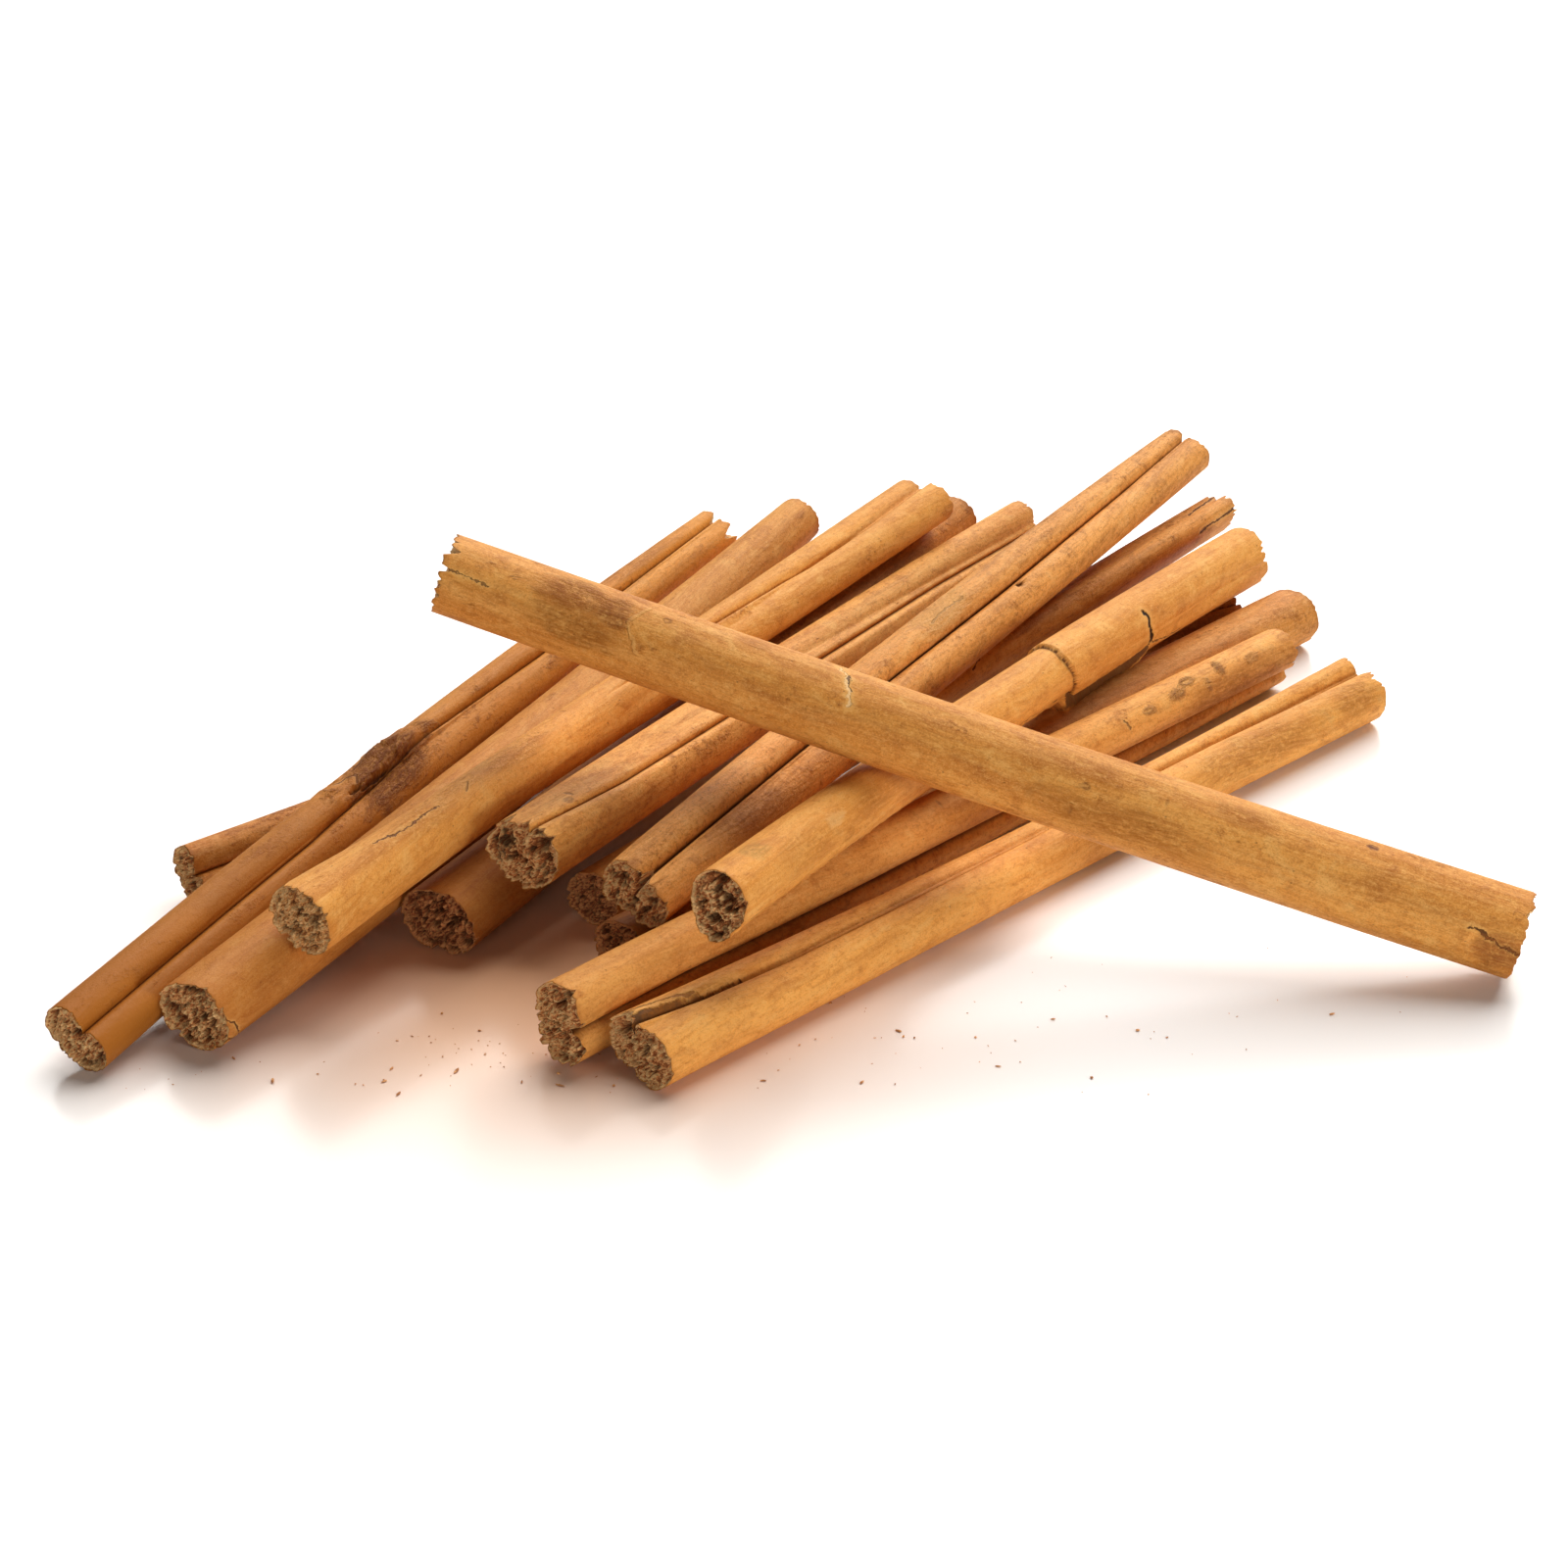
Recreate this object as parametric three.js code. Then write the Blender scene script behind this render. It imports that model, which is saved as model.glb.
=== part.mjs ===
// A loose stack of fourteen Ceylon cinnamon quills, as they lie on a table.
//
// Each quill is bark rolled in from both edges, so its cross-section is a kidney: two round lobes, a
// groove between them and a rounded back. The quills are laid down one after the other, and each comes
// to rest on the table and on the quills laid before it.
//
// Millimetres, +Z up, the table is z = 0. Most quills point away from the viewer, who looks along +Y.

import * as THREE from "three";

const CLEARANCE = 0.38; // gap kept, straight up, between a quill and what it rests on
const FLAT = 0.16; // depth of the flat that a quill has where it lies on the table
const BACK_BULGE = 0.06; // how far the back swells between the lobes, as a share
const EYE = 0.12; // the point that rings are measured from lies this share of the depth behind the middle
const WRINKLE = 0.14; // how far the bark dips between its wrinkles, at most
const SLEEVE_STEP = 0.006; // share of the length over which a sleeve rises from the bark below

// Rings of vertices along a quill, as shares of its length.
const SPANS = 11;

// An end from its rim inwards: share of the outline, how deep it lies, and how uneven that depth is.
const END_RINGS = [
  { share: 1, deep: 0.25, rough: 0.25 },
  { share: 0.86, deep: 0.75, rough: 0.3 },
  { share: 0.46, deep: 0.9, rough: 0.5 },
];
const CORE_DEEP = 0.6;

// Angles from the groove, in degrees, at which each side of a ring has its vertices.
const SIDE_ANGLES = [7, 20, 36, 52, 67, 81, 95, 109, 123, 137, 151, 165];

// How finely a quill is measured when others are laid on it.
const STATIONS = 33;
const FINE_ANGLES = 180;
const BIN = 0.2;
const BIN_REACH = 40;

// Bark colours, from pale gold to red brown.
const GOLD = 0xc9935a;
const TAN = 0xc08a50;
const AMBER = 0xb87c43;
const RUSSET = 0xa9683a;

// front: plan position of the near end's centre. heading: degrees from +X. length: end to end.
// Lists hold the value at the near end, in the middle if it isn't halfway, and at the far end:
//   width: across both lobes. depth: from the lobes to the back. first, second: radii of the lobes.
//   floor: height of the groove's floor over the back, as a share of the depth.
//   facing: where the groove looks, in degrees from the right-hand side up towards the top.
// even: 0 where the lobes' backs are in line, 1 where their middles are.
// bow: how far the middle of the quill stands out sideways and up.
// rests: the quills that may carry it, besides the table.
// balance: where its weight acts, as a share of the length.
// sleeve: from which share of the length an outer layer of bark still wraps it, and how thick.
const QUILLS = [
  {
    name: "quill_under_left",
    color: RUSSET,
    front: [-66.4, -31.4],
    heading: 42.5,
    length: 134,
    width: [7.6, 7.2],
    depth: [5.6, 5.4],
    first: [2.3, 2.3],
    second: [2.2, 2.2],
    floor: [0.45, 0.5],
    facing: [35, 35],
  },
  {
    name: "quill_left_outer",
    color: RUSSET,
    front: [-72, -66.8],
    heading: 60.6,
    length: 129.8,
    width: [8.4, 6.8],
    depth: [6, 5],
    first: [2.8, 2.3],
    second: [2.7, 2.3],
    floor: [0.45, 0.5],
    facing: [55, 60],
    bow: [-1.2, 0.4],
    rests: ["quill_under_left"],
    balance: 0.43,
  },
  {
    name: "quill_left_inner",
    color: TAN,
    front: [-60.5, -63.2],
    heading: 60.8,
    length: 128.9,
    width: [9, 9.2, 6.9],
    depth: [9.1, 9, 6.9],
    first: [4.2, 4.3, 3.2],
    second: [3.3, 3.8, 3.1],
    floor: [0.6, 0.6],
    facing: [-55, -45],
    bow: [0.7, -0.5],
    rests: ["quill_under_left"],
    balance: 0.46,
  },
  {
    name: "quill_lower_left",
    color: AMBER,
    front: [-37.8, -42.5],
    heading: 58.9,
    length: 117.7,
    width: [10, 8.2],
    depth: [8.2, 7.2],
    first: [4, 3.4],
    second: [3.7, 3.2],
    floor: [0.6, 0.6],
    facing: [-80, -80],
    rests: ["quill_under_left"],
  },
  {
    name: "quill_under_right",
    color: RUSSET,
    front: [-1.7, 5.1],
    heading: 34,
    length: 75,
    width: [6.2, 6.2],
    depth: [5.4, 5.4],
    first: [2.5, 2.5],
    second: [2.5, 2.5],
    floor: [0.6, 0.6],
    facing: [60, 60],
  },
  {
    name: "quill_lower_middle",
    color: AMBER,
    front: [-21.5, -36.5],
    heading: 50.2,
    length: 126.4,
    width: [8, 7],
    depth: [7, 5.6],
    first: [3.4, 2.7],
    second: [2.9, 1.6],
    floor: [0.6, 0.4],
    facing: [140, 150],
    rests: ["quill_under_right"],
  },
  {
    name: "quill_lower_right",
    color: TAN,
    front: [-17.6, -48.3],
    heading: 47.2,
    length: 125.8,
    width: [8.4, 8.6],
    depth: [7.6, 7.8],
    first: [3.6, 3.7],
    second: [3.4, 3.5],
    floor: [0.6, 0.6],
    facing: [-80, -80],
  },
  {
    name: "quill_right_inner",
    color: TAN,
    front: [-23.2, -66.5],
    heading: 47.3,
    length: 129.1,
    width: [9.6, 9.3, 7.9],
    depth: [6.6, 6.9, 7.3],
    first: [3.3, 3, 3],
    second: [3.3, 2.5, 2.2],
    floor: [0.45, 0.5],
    facing: [0, 5],
    bow: [-0.1, -0.2],
  },
  {
    name: "quill_right_outer",
    color: GOLD,
    front: [-14.9, -69],
    heading: 45.2,
    length: 124.9,
    width: [9.7, 8, 9.1],
    depth: [6.5, 6.8, 6.9],
    first: [2.9, 1.9, 1.7],
    second: [3.2, 3.2, 3.4],
    floor: [0.4, 0.4],
    facing: [73, 40],
    even: 0.6,
    bow: [0.3, -0.2],
  },
  {
    name: "quill_upper_left",
    color: GOLD,
    front: [-50.4, -56.4],
    heading: 56.9,
    length: 126.5,
    width: [6.4, 7, 9.5],
    depth: [7.8, 6.4, 6],
    first: [3.9, 2.9, 2.6],
    second: [3.4, 2.6, 2.8],
    floor: [0.7, 0.5],
    facing: [20, 90],
    bow: [0.2, -0.1],
    rests: ["quill_under_left", "quill_left_inner", "quill_lower_left"],
  },
  {
    name: "quill_upper_middle",
    color: TAN,
    front: [-28.5, -41.9],
    heading: 58.45,
    length: 117.5,
    width: [9.2, 8.5, 6.9],
    depth: [8.3, 7, 5.4],
    first: [3.6, 2.9, 2.5],
    second: [4, 3.1, 2.2],
    floor: [0.6, 0.5],
    facing: [75, 45],
    bow: [-0.1, 0.1],
    rests: ["quill_under_left", "quill_lower_left", "quill_lower_middle"],
  },
  {
    name: "quill_upper_right",
    color: AMBER,
    front: [-16, -49.2],
    heading: 58.3,
    length: 136,
    width: [8.8, 9.3, 7.9],
    depth: [6.8, 6.5, 5.5],
    first: [3.2, 3.1, 2.5],
    second: [2.8, 2.7, 2.5],
    floor: [0.45, 0.5],
    facing: [66, 70],
    bow: [-0.4, 0.2],
    rests: ["quill_lower_middle", "quill_lower_right", "quill_upper_middle"],
  },
  {
    name: "quill_sleeved",
    color: GOLD,
    front: [-6.9, -59.8],
    heading: 57.9,
    length: 129.3,
    width: [8.4, 7.8, 7.4],
    depth: [7, 6.6, 6.6],
    first: [3.5, 3.3, 2.9],
    second: [2.3, 2.2, 3.3],
    floor: [0.7, 0.7],
    facing: [0, 0],
    even: 0.5,
    bow: [-1.2, 0.2],
    sleeve: { from: 0.6, thick: 0.45 },
    rests: ["quill_lower_right", "quill_right_inner", "quill_upper_right", "quill_under_right"],
  },
  {
    name: "quill_across",
    color: TAN,
    front: [-37.8, -20.3],
    heading: -12.8,
    length: 123.9,
    width: [9.6, 9.9, 10.5],
    depth: [9.2, 9, 9.8],
    first: [4.3, 4.5, 4.6],
    second: [4.3, 4.5, 4.6],
    floor: [0.7, 0.7],
    facing: [-100, -100],
    bow: [0.5, 0],
    rests: [
      "quill_left_outer",
      "quill_left_inner",
      "quill_upper_left",
      "quill_upper_middle",
      "quill_upper_right",
      "quill_sleeved",
      "quill_right_inner",
      "quill_right_outer",
    ],
  },
];

const degrees = THREE.MathUtils.degToRad;

// A value at share t of the length, from the values at the near end, in the middle and at the far end,
// or at the two ends alone.
function between(values, t) {
  const [near, far] = [values[0], values.at(-1)];
  const bulge = values.length > 2 ? values[1] - (near + far) / 2 : 0;
  return THREE.MathUtils.lerp(near, far, t) + bulge * 4 * t * (1 - t);
}

// Seeded random numbers from 0 to 1 (mulberry32).
function makeRandom(seed) {
  let state = seed;
  return () => {
    state = (state + 0x6d2b79f5) | 0;
    let mixed = Math.imul(state ^ (state >>> 15), 1 | state);
    mixed = (mixed + Math.imul(mixed ^ (mixed >>> 7), 61 | mixed)) ^ mixed;
    return ((mixed ^ (mixed >>> 14)) >>> 0) / 4294967296;
  };
}

// Distance along a ray from `eye` (on the section's middle line) to the far side of a circle, 0 if missed.
function reachCircle(cos, sin, eye, x, y, radius) {
  const along = cos * x + sin * (y - eye);
  const square = along * along - x * x - (y - eye) ** 2 + radius * radius;
  return square > 0 ? along + Math.sqrt(square) : 0;
}

// Distance along a ray to the edge of the bark between the lobes: a slab from the back up to the floor.
function reachSlab(cos, sin, eye, slab) {
  const tiny = 1e-6;
  const toFloor = sin > tiny ? (slab.floor - eye) / sin : Infinity;
  const fall = sin - slab.slope * cos;
  const toBack = fall < -tiny ? (slab.back - eye) / fall : Infinity;
  const side = cos > 0 ? slab.right : slab.left;
  const toSide = Math.abs(cos) > tiny ? side / cos : Infinity;
  const reach = Math.min(toFloor, toBack, toSide);
  const middle = (slab.left + slab.right) / 2;
  const offMiddle = (reach * cos - middle) / Math.max((slab.right - slab.left) / 2, tiny);
  const swell = sin < 0 ? BACK_BULGE * Math.max(1 - offMiddle * offMiddle, 0) : 0;
  return reach * (1 + swell);
}

// A point of the section's outline at share t of the length, in the direction `angle` (90 degrees is
// the groove). x runs across the lobes and y from the back to the groove.
function outlinePoint(quill, t, angle, grow = 1) {
  const [width, depth] = [between(quill.width, t), between(quill.depth, t)];
  const [first, second] = [between(quill.first, t), between(quill.second, t)];
  const aligned = 1 - (quill.even ?? 0);
  const left = { x: first - width / 2, y: (first - depth / 2) * aligned };
  const right = { x: width / 2 - second, y: (second - depth / 2) * aligned };
  const slope = (right.y - second - left.y + first) / (right.x - left.x);
  const slab = {
    left: left.x,
    right: right.x,
    slope,
    back: left.y - first - slope * left.x,
    floor: depth * (between(quill.floor, t) - 0.5),
  };
  const eye = -depth * EYE;
  const [cos, sin] = [Math.cos(angle), Math.sin(angle)];
  const reach = Math.max(
    reachCircle(cos, sin, eye, left.x, left.y, first),
    reachCircle(cos, sin, eye, right.x, right.y, second),
    reachSlab(cos, sin, eye, slab),
  );
  const sleeved = quill.sleeve && t > quill.sleeve.from ? quill.sleeve.thick : 0;
  const full = (reach + sleeved) * grow;
  return { x: full * cos, y: eye + full * sin };
}

// The same point seen by someone looking along the quill: right and up from its straight axis.
function seenPoint(quill, t, angle, grow = 1) {
  const { x, y } = outlinePoint(quill, t, angle, grow);
  const facing = degrees(between(quill.facing, t));
  const [sideways, up] = quill.bow ?? [0, 0];
  const bowed = 4 * t * (1 - t);
  return {
    right: x * Math.sin(facing) + y * Math.cos(facing) + sideways * bowed,
    up: -x * Math.cos(facing) + y * Math.sin(facing) + up * bowed,
  };
}

// How high and how low a quill reaches from its axis, in bins across it, at stations along it.
function measure(quill) {
  const stations = [];
  for (let s = 0; s < STATIONS; s++) {
    const high = new Array(2 * BIN_REACH + 1).fill(-Infinity);
    const low = new Array(2 * BIN_REACH + 1).fill(Infinity);
    const point = (i) => seenPoint(quill, s / (STATIONS - 1), (2 * Math.PI * i) / FINE_ANGLES);
    for (let i = 0; i < FINE_ANGLES; i++) {
      const [from, to] = [point(i), point(i + 1)].sort((a, b) => a.right - b.right);
      for (let bin = Math.ceil(from.right / BIN); bin * BIN <= to.right; bin++) {
        const share = (bin * BIN - from.right) / Math.max(to.right - from.right, 1e-9);
        const up = THREE.MathUtils.lerp(from.up, to.up, share);
        high[bin + BIN_REACH] = Math.max(high[bin + BIN_REACH], up);
        low[bin + BIN_REACH] = Math.min(low[bin + BIN_REACH], up);
      }
    }
    stations.push({ high, low });
  }
  return stations;
}

// Height of a laid quill's upper side over a plan point, or -Infinity beside it.
function topOver(laid, x, y) {
  const [dx, dy] = [x - laid.quill.front[0], y - laid.quill.front[1]];
  const ahead = dx * laid.cos + dy * laid.sin;
  const across = dx * laid.sin - dy * laid.cos;
  const station = Math.round((ahead / laid.planLength) * (STATIONS - 1));
  const bin = Math.round(across / BIN) + BIN_REACH;
  if (station < 0 || station >= STATIONS || bin < 0 || bin > 2 * BIN_REACH) return -Infinity;
  return laid.z + laid.slope * ahead + laid.stations[station].high[bin] / Math.cos(laid.tilt);
}

// The lowest height that the axis can have at each station of a quill tilted by `tilt`.
function needs(laid, carriers) {
  const scale = 1 / Math.cos(laid.tilt);
  return laid.stations.map(({ low }, s) => {
    const ahead = (laid.planLength * s) / (STATIONS - 1);
    let height = -Math.min(...low) * scale - FLAT;
    low.forEach((down, bin) => {
      if (!Number.isFinite(down)) return;
      const across = (bin - BIN_REACH) * BIN;
      const x = laid.quill.front[0] + ahead * laid.cos + across * laid.sin;
      const y = laid.quill.front[1] + ahead * laid.sin - across * laid.cos;
      for (const carrier of carriers) {
        height = Math.max(height, topOver(carrier, x, y) + CLEARANCE - down * scale);
      }
    });
    return { ahead, height };
  });
}

// A straight quill comes to rest on two points, one on each side of its weight: the edge over the
// weight of the convex hull of the heights that it needs.
function restingLine(points, weightAt) {
  let best = { z: -Infinity };
  for (const near of points) {
    for (const far of points) {
      if (near.ahead > weightAt || far.ahead <= weightAt) continue;
      const slope = (far.height - near.height) / (far.ahead - near.ahead);
      const atWeight = near.height + slope * (weightAt - near.ahead);
      if (atWeight > best.atWeight || best.z === -Infinity) {
        best = { z: near.height - slope * near.ahead, slope, atWeight };
      }
    }
  }
  return best;
}

// Lays one quill on the table and on its carriers, and says how it lies.
function lay(quill, laidByName) {
  const carriers = (quill.rests ?? []).map((name) => laidByName.get(name));
  const heading = degrees(quill.heading);
  const laid = { quill, cos: Math.cos(heading), sin: Math.sin(heading), stations: measure(quill) };
  laid.tilt = 0;
  for (let pass = 0; pass < 3; pass++) {
    laid.planLength = quill.length * Math.cos(laid.tilt);
    const weightAt = laid.planLength * (quill.balance ?? 0.5);
    Object.assign(laid, restingLine(needs(laid, carriers), weightAt));
    laid.tilt = Math.atan(laid.slope);
  }
  return laid;
}

// The ring positions along a quill, with two close together where a sleeve begins.
function ringShares(quill) {
  const shares = Array.from({ length: SPANS + 1 }, (_, i) => i / SPANS);
  if (!quill.sleeve) return shares;
  const { from } = quill.sleeve;
  const apart = shares.filter((t) => Math.abs(t - from) > 0.3 / SPANS);
  return [...apart, from, from + SLEEVE_STEP].sort((a, b) => a - b);
}

// Ring directions, all the way round from the groove.
function ringAngles() {
  const turned = SIDE_ANGLES.map((angle) => 360 - angle).reverse();
  return [0, ...SIDE_ANGLES, 180, ...turned].map((angle) => degrees(90 + angle));
}

// The closed surface of one quill: rings along the bark, and rings and a core point at each end.
function quillGeometry(laid, seed) {
  const { quill, tilt } = laid;
  const random = makeRandom(seed);
  const angles = ringAngles();
  const vertices = [];
  const triangles = [];
  const along = new THREE.Vector3(laid.cos * Math.cos(tilt), laid.sin * Math.cos(tilt), Math.sin(tilt));
  const right = new THREE.Vector3(laid.sin, -laid.cos, 0);
  const up = new THREE.Vector3().crossVectors(right, along);
  const start = new THREE.Vector3(...quill.front, laid.z);

  // Adds a vertex given how far along, to the right and up it is, and returns its number.
  function addVertex(distance, seen) {
    const point = start.clone().addScaledVector(along, distance);
    point.addScaledVector(right, seen.right).addScaledVector(up, seen.up);
    vertices.push(point.x, point.y, Math.max(point.z, 0));
    return vertices.length / 3 - 1;
  }

  function addBand(near, far) {
    near.forEach((_, i) => {
      const next = (i + 1) % near.length;
      triangles.push(near[i], far[i], far[next], near[i], far[next], near[next]);
    });
  }

  // Rim and filling of an end. inward is +1 at the near end and -1 at the far end.
  function endRings(t, inward) {
    return END_RINGS.map(({ share, deep, rough }) =>
      angles.map((angle) => {
        const depth = deep + rough * (2 * random() - 1);
        return addVertex(t * quill.length + inward * depth, seenPoint(quill, t, angle, share));
      }),
    );
  }

  const nearEnd = endRings(0, 1);
  const farEnd = endRings(1, -1);
  const middles = ringShares(quill).slice(1, -1).map((t) =>
    angles.map((angle) => {
      const dip = 1 - (WRINKLE * random()) / between(quill.first, t) / 2;
      return addVertex(t * quill.length, seenPoint(quill, t, angle, dip));
    }),
  );

  const rings = [...[...nearEnd].reverse(), ...middles, ...farEnd];
  rings.slice(1).forEach((ring, i) => addBand(rings[i], ring));
  for (const [t, inward, ring] of [[0, 1, rings[0]], [1, -1, rings.at(-1)]]) {
    const core = addVertex(t * quill.length + inward * CORE_DEEP, { right: 0, up: 0 });
    ring.forEach((vertex, i) => {
      const next = ring[(i + 1) % ring.length];
      triangles.push(...(inward > 0 ? [core, vertex, next] : [core, next, vertex]));
    });
  }

  const geometry = new THREE.BufferGeometry();
  geometry.setAttribute("position", new THREE.Float32BufferAttribute(vertices, 3));
  geometry.setIndex(triangles);
  geometry.computeVertexNormals();
  return geometry;
}

function makeQuill(laid, seed) {
  const material = new THREE.MeshStandardMaterial({ color: laid.quill.color, roughness: 0.8, metalness: 0 });
  const mesh = new THREE.Mesh(quillGeometry(laid, seed), material);
  mesh.name = laid.quill.name;
  return mesh;
}

const stack = new THREE.Group();
const laidByName = new Map();
QUILLS.forEach((quill, i) => {
  const laid = lay(quill, laidByName);
  laidByName.set(quill.name, laid);
  stack.add(makeQuill(laid, i + 1));
});

// The origin goes to the middle of the stack's footprint, on the table.
const footprint = new THREE.Box3().setFromObject(stack, true).getCenter(new THREE.Vector3());
stack.position.set(-footprint.x, -footprint.y, 0);

export default stack;
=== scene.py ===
import math

import bpy
import numpy as np
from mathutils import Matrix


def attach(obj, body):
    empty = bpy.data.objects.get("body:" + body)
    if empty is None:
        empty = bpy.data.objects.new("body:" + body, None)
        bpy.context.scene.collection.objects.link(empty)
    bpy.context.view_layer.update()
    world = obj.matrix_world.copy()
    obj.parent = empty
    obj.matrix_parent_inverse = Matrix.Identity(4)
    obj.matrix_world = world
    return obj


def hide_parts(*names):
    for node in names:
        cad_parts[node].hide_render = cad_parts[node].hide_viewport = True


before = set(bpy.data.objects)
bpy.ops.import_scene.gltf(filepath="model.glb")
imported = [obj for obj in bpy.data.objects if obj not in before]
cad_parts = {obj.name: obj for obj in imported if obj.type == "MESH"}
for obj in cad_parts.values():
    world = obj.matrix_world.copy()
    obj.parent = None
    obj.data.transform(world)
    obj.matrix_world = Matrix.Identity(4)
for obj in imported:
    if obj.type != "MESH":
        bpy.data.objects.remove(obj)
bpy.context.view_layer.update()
print("frame loaded")

mm = 0.001
tiny, never = 1e-6, 1e6  # next to nothing, and farther than anything reaches
heap = dict(shift=(-2.714, 1.98), eye=0.12, backSwell=0.06)  # the plan's place, and the section's constants
grid = dict(around=144, along=230, rings=38, crowd=0.7, ringPower=0.92, rounded=6)
wrinkles = dict(deep=0.16, waves=[(26, 9, 0.55), (9, 24, 0.25), (5, 8, 0.2)])  # length, how many round, part
teeth = dict(around=(17, 46, 72), parts=(0.5, 0.35, 1.5))  # of the rims: how many round, how far in
cutFace = dict(warp=(1.5, 0.6), layer=0.36, curl=0.9, lumps=(0.55, 0.27), pits=(0.8, 0.35), wall=(0.14, 0.5),
               lumpDeep=(0.4, 0.25), bitDeep=(0.3, 0.3), gapDeep=0.5, holeDeep=1.1, edgeDeep=0.35, coreDeep=1.1)
packing = dict(bark=0.74, reach=0.62, size=0.12, middles=((0.13, 0.87), (0.43, 0.87)))  # all faces in one square
farPatch = 3.0  # a distance, in sizes of a patch, at which it no longer shows


def between(values, t):  # the straight line from first to last value, plus a parabola through the middle one
    near, far = values[0], values[-1]
    bulge = values[1] - (near + far) / 2 if len(values) > 2 else 0
    return near + (far - near) * t + bulge * 4 * t * (1 - t)


def lattice(ix, iy, seed):  # a share from 0 to 1 that is always the same for one lattice point
    mixed = ix.astype(np.int64) * 374761393 + iy.astype(np.int64) * 668265263 + seed * 144269504
    mixed = mixed & 0xFFFFFFFF
    mixed = ((mixed ^ (mixed >> 13)) * 1274126177) & 0xFFFFFFFF
    mixed = ((mixed ^ (mixed >> 15)) * 2246822519) & 0xFFFFFFFF
    return ((mixed ^ (mixed >> 16)) & 0xFFFFF) / 1048575.0


def noise(x, y, seed, wrap=0):  # lattice values blended by smooth steps, from -1 to 1; wrap closes it along y
    x, y = np.broadcast_arrays(np.asarray(x, float), np.asarray(y, float))
    ix, iy = np.floor(x), np.floor(y)
    fx, fy = x - ix, y - iy
    fx, fy = fx * fx * (3 - 2 * fx), fy * fy * (3 - 2 * fy)
    low, high = (iy % wrap, (iy + 1) % wrap) if wrap else (iy, iy + 1)
    a, b = lattice(ix, low, seed), lattice(ix + 1, low, seed)
    c, d = lattice(ix, high, seed), lattice(ix + 1, high, seed)
    return 2 * (a + (b - a) * fx + (c - a) * fy + (a - b - c + d) * fx * fy) - 1


def smoothStep(low, high, x):  # 0 below low, 1 above high, a soft curve between
    s = np.clip((x - low) / (high - low), 0, 1)
    return s * s * (3 - 2 * s)


def wrapped(angle):  # the same direction, from minus half a turn to half a turn
    return (angle + np.pi) % (2 * np.pi) - np.pi


def awayFrom(u, angle, at, size):  # how many of its own sizes a spot lies off, along and round the bark
    return (u - at[0]) / size[0], wrapped(angle - math.radians(at[1])) / math.radians(size[1])


def reachCircle(c, s, x, y, radius, eye):  # from the eye along a ray to the far side of a circle
    along = c * x + s * (y - eye)
    square = along ** 2 - x ** 2 - (y - eye) ** 2 + radius ** 2
    return np.where(square > 0, along + np.sqrt(np.maximum(square, 0)), 0)


def reachSlab(c, s, eye, left, right, slope, back, floor):  # the same for the bark between the two rolls
    toFloor = np.where(s > tiny, (floor - eye) / np.maximum(s, tiny), never)
    fall = s - slope * c
    toBack = np.where(fall < -tiny, (back - eye) / np.minimum(fall, -tiny), never)
    side = np.where(c > 0, right, left)
    toSide = np.where(abs(c) > tiny, side / np.where(abs(c) > tiny, c, 1), never)
    reach = np.minimum(np.minimum(toFloor, toBack), toSide)
    off = (reach * c - (left + right) / 2) / np.maximum((right - left) / 2, tiny)
    return reach * (1 + np.where(s < 0, heap["backSwell"] * np.maximum(1 - off ** 2, 0), 0))


def rolls(quill, t):  # each of the section's two rolls as x, y and radius, and the section's depth
    width, depth = between(quill["width"], t), between(quill["depth"], t)
    first, second = between(quill["first"], t), between(quill["second"], t)
    aligned = 1 - quill.get("even", 0)
    left = first - width / 2, (first - depth / 2) * aligned, first
    right = width / 2 - second, (second - depth / 2) * aligned, second
    return left, right, depth


def outline(quill, t, angle):  # distance from the eye to the bark; angle is measured from the groove
    (lx, ly, first), (rx, ry, second), depth = rolls(quill, t)
    slope = (ry - second - ly + first) / (rx - lx)
    back, floor = ly - first - slope * lx, depth * (between(quill["floor"], t) - 0.5)
    eye = -depth * heap["eye"]
    c, s = -np.sin(angle), np.cos(angle)
    circles = np.maximum(reachCircle(c, s, lx, ly, first, eye), reachCircle(c, s, rx, ry, second, eye))
    return np.maximum(circles, reachSlab(c, s, eye, lx, rx, slope, back, floor)), c, s, eye


def axes(quill):  # unit vectors along the quill, to its right and up, and the near end's middle
    heading, tilt = math.radians(quill["heading"]), math.atan(quill["slope"])
    level = math.cos(tilt)
    along = np.array([math.cos(heading) * level, math.sin(heading) * level, math.sin(tilt)])
    right = np.array([math.sin(heading), -math.cos(heading), 0])
    (x, y), (dx, dy) = quill["front"], heap["shift"]
    return along, right, np.cross(right, along), np.array([x + dx, y + dy, quill["z"]])


def place(quill, t, u, x, y):  # section coordinates x, y at u millimetres along, as points in space
    facing = np.radians(between(quill["facing"], t))
    side, lift = quill.get("bow", (0, 0))
    bowed = 4 * t * (1 - t)
    toRight = x * np.sin(facing) + y * np.cos(facing) + side * bowed
    toUp = -x * np.cos(facing) + y * np.sin(facing) + lift * bowed
    along, right, up, start = axes(quill)
    points = start + u[..., None] * along + toRight[..., None] * right + toUp[..., None] * up
    points[..., 2] = np.maximum(points[..., 2], 0)
    return points


def bend(quill, t):  # by how many radians the groove has wandered round the quill
    places, degrees = zip(*quill["groove"].get("bend", ((0, 0), (1, 0))))
    return np.radians(np.interp(t, places, degrees))


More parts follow.
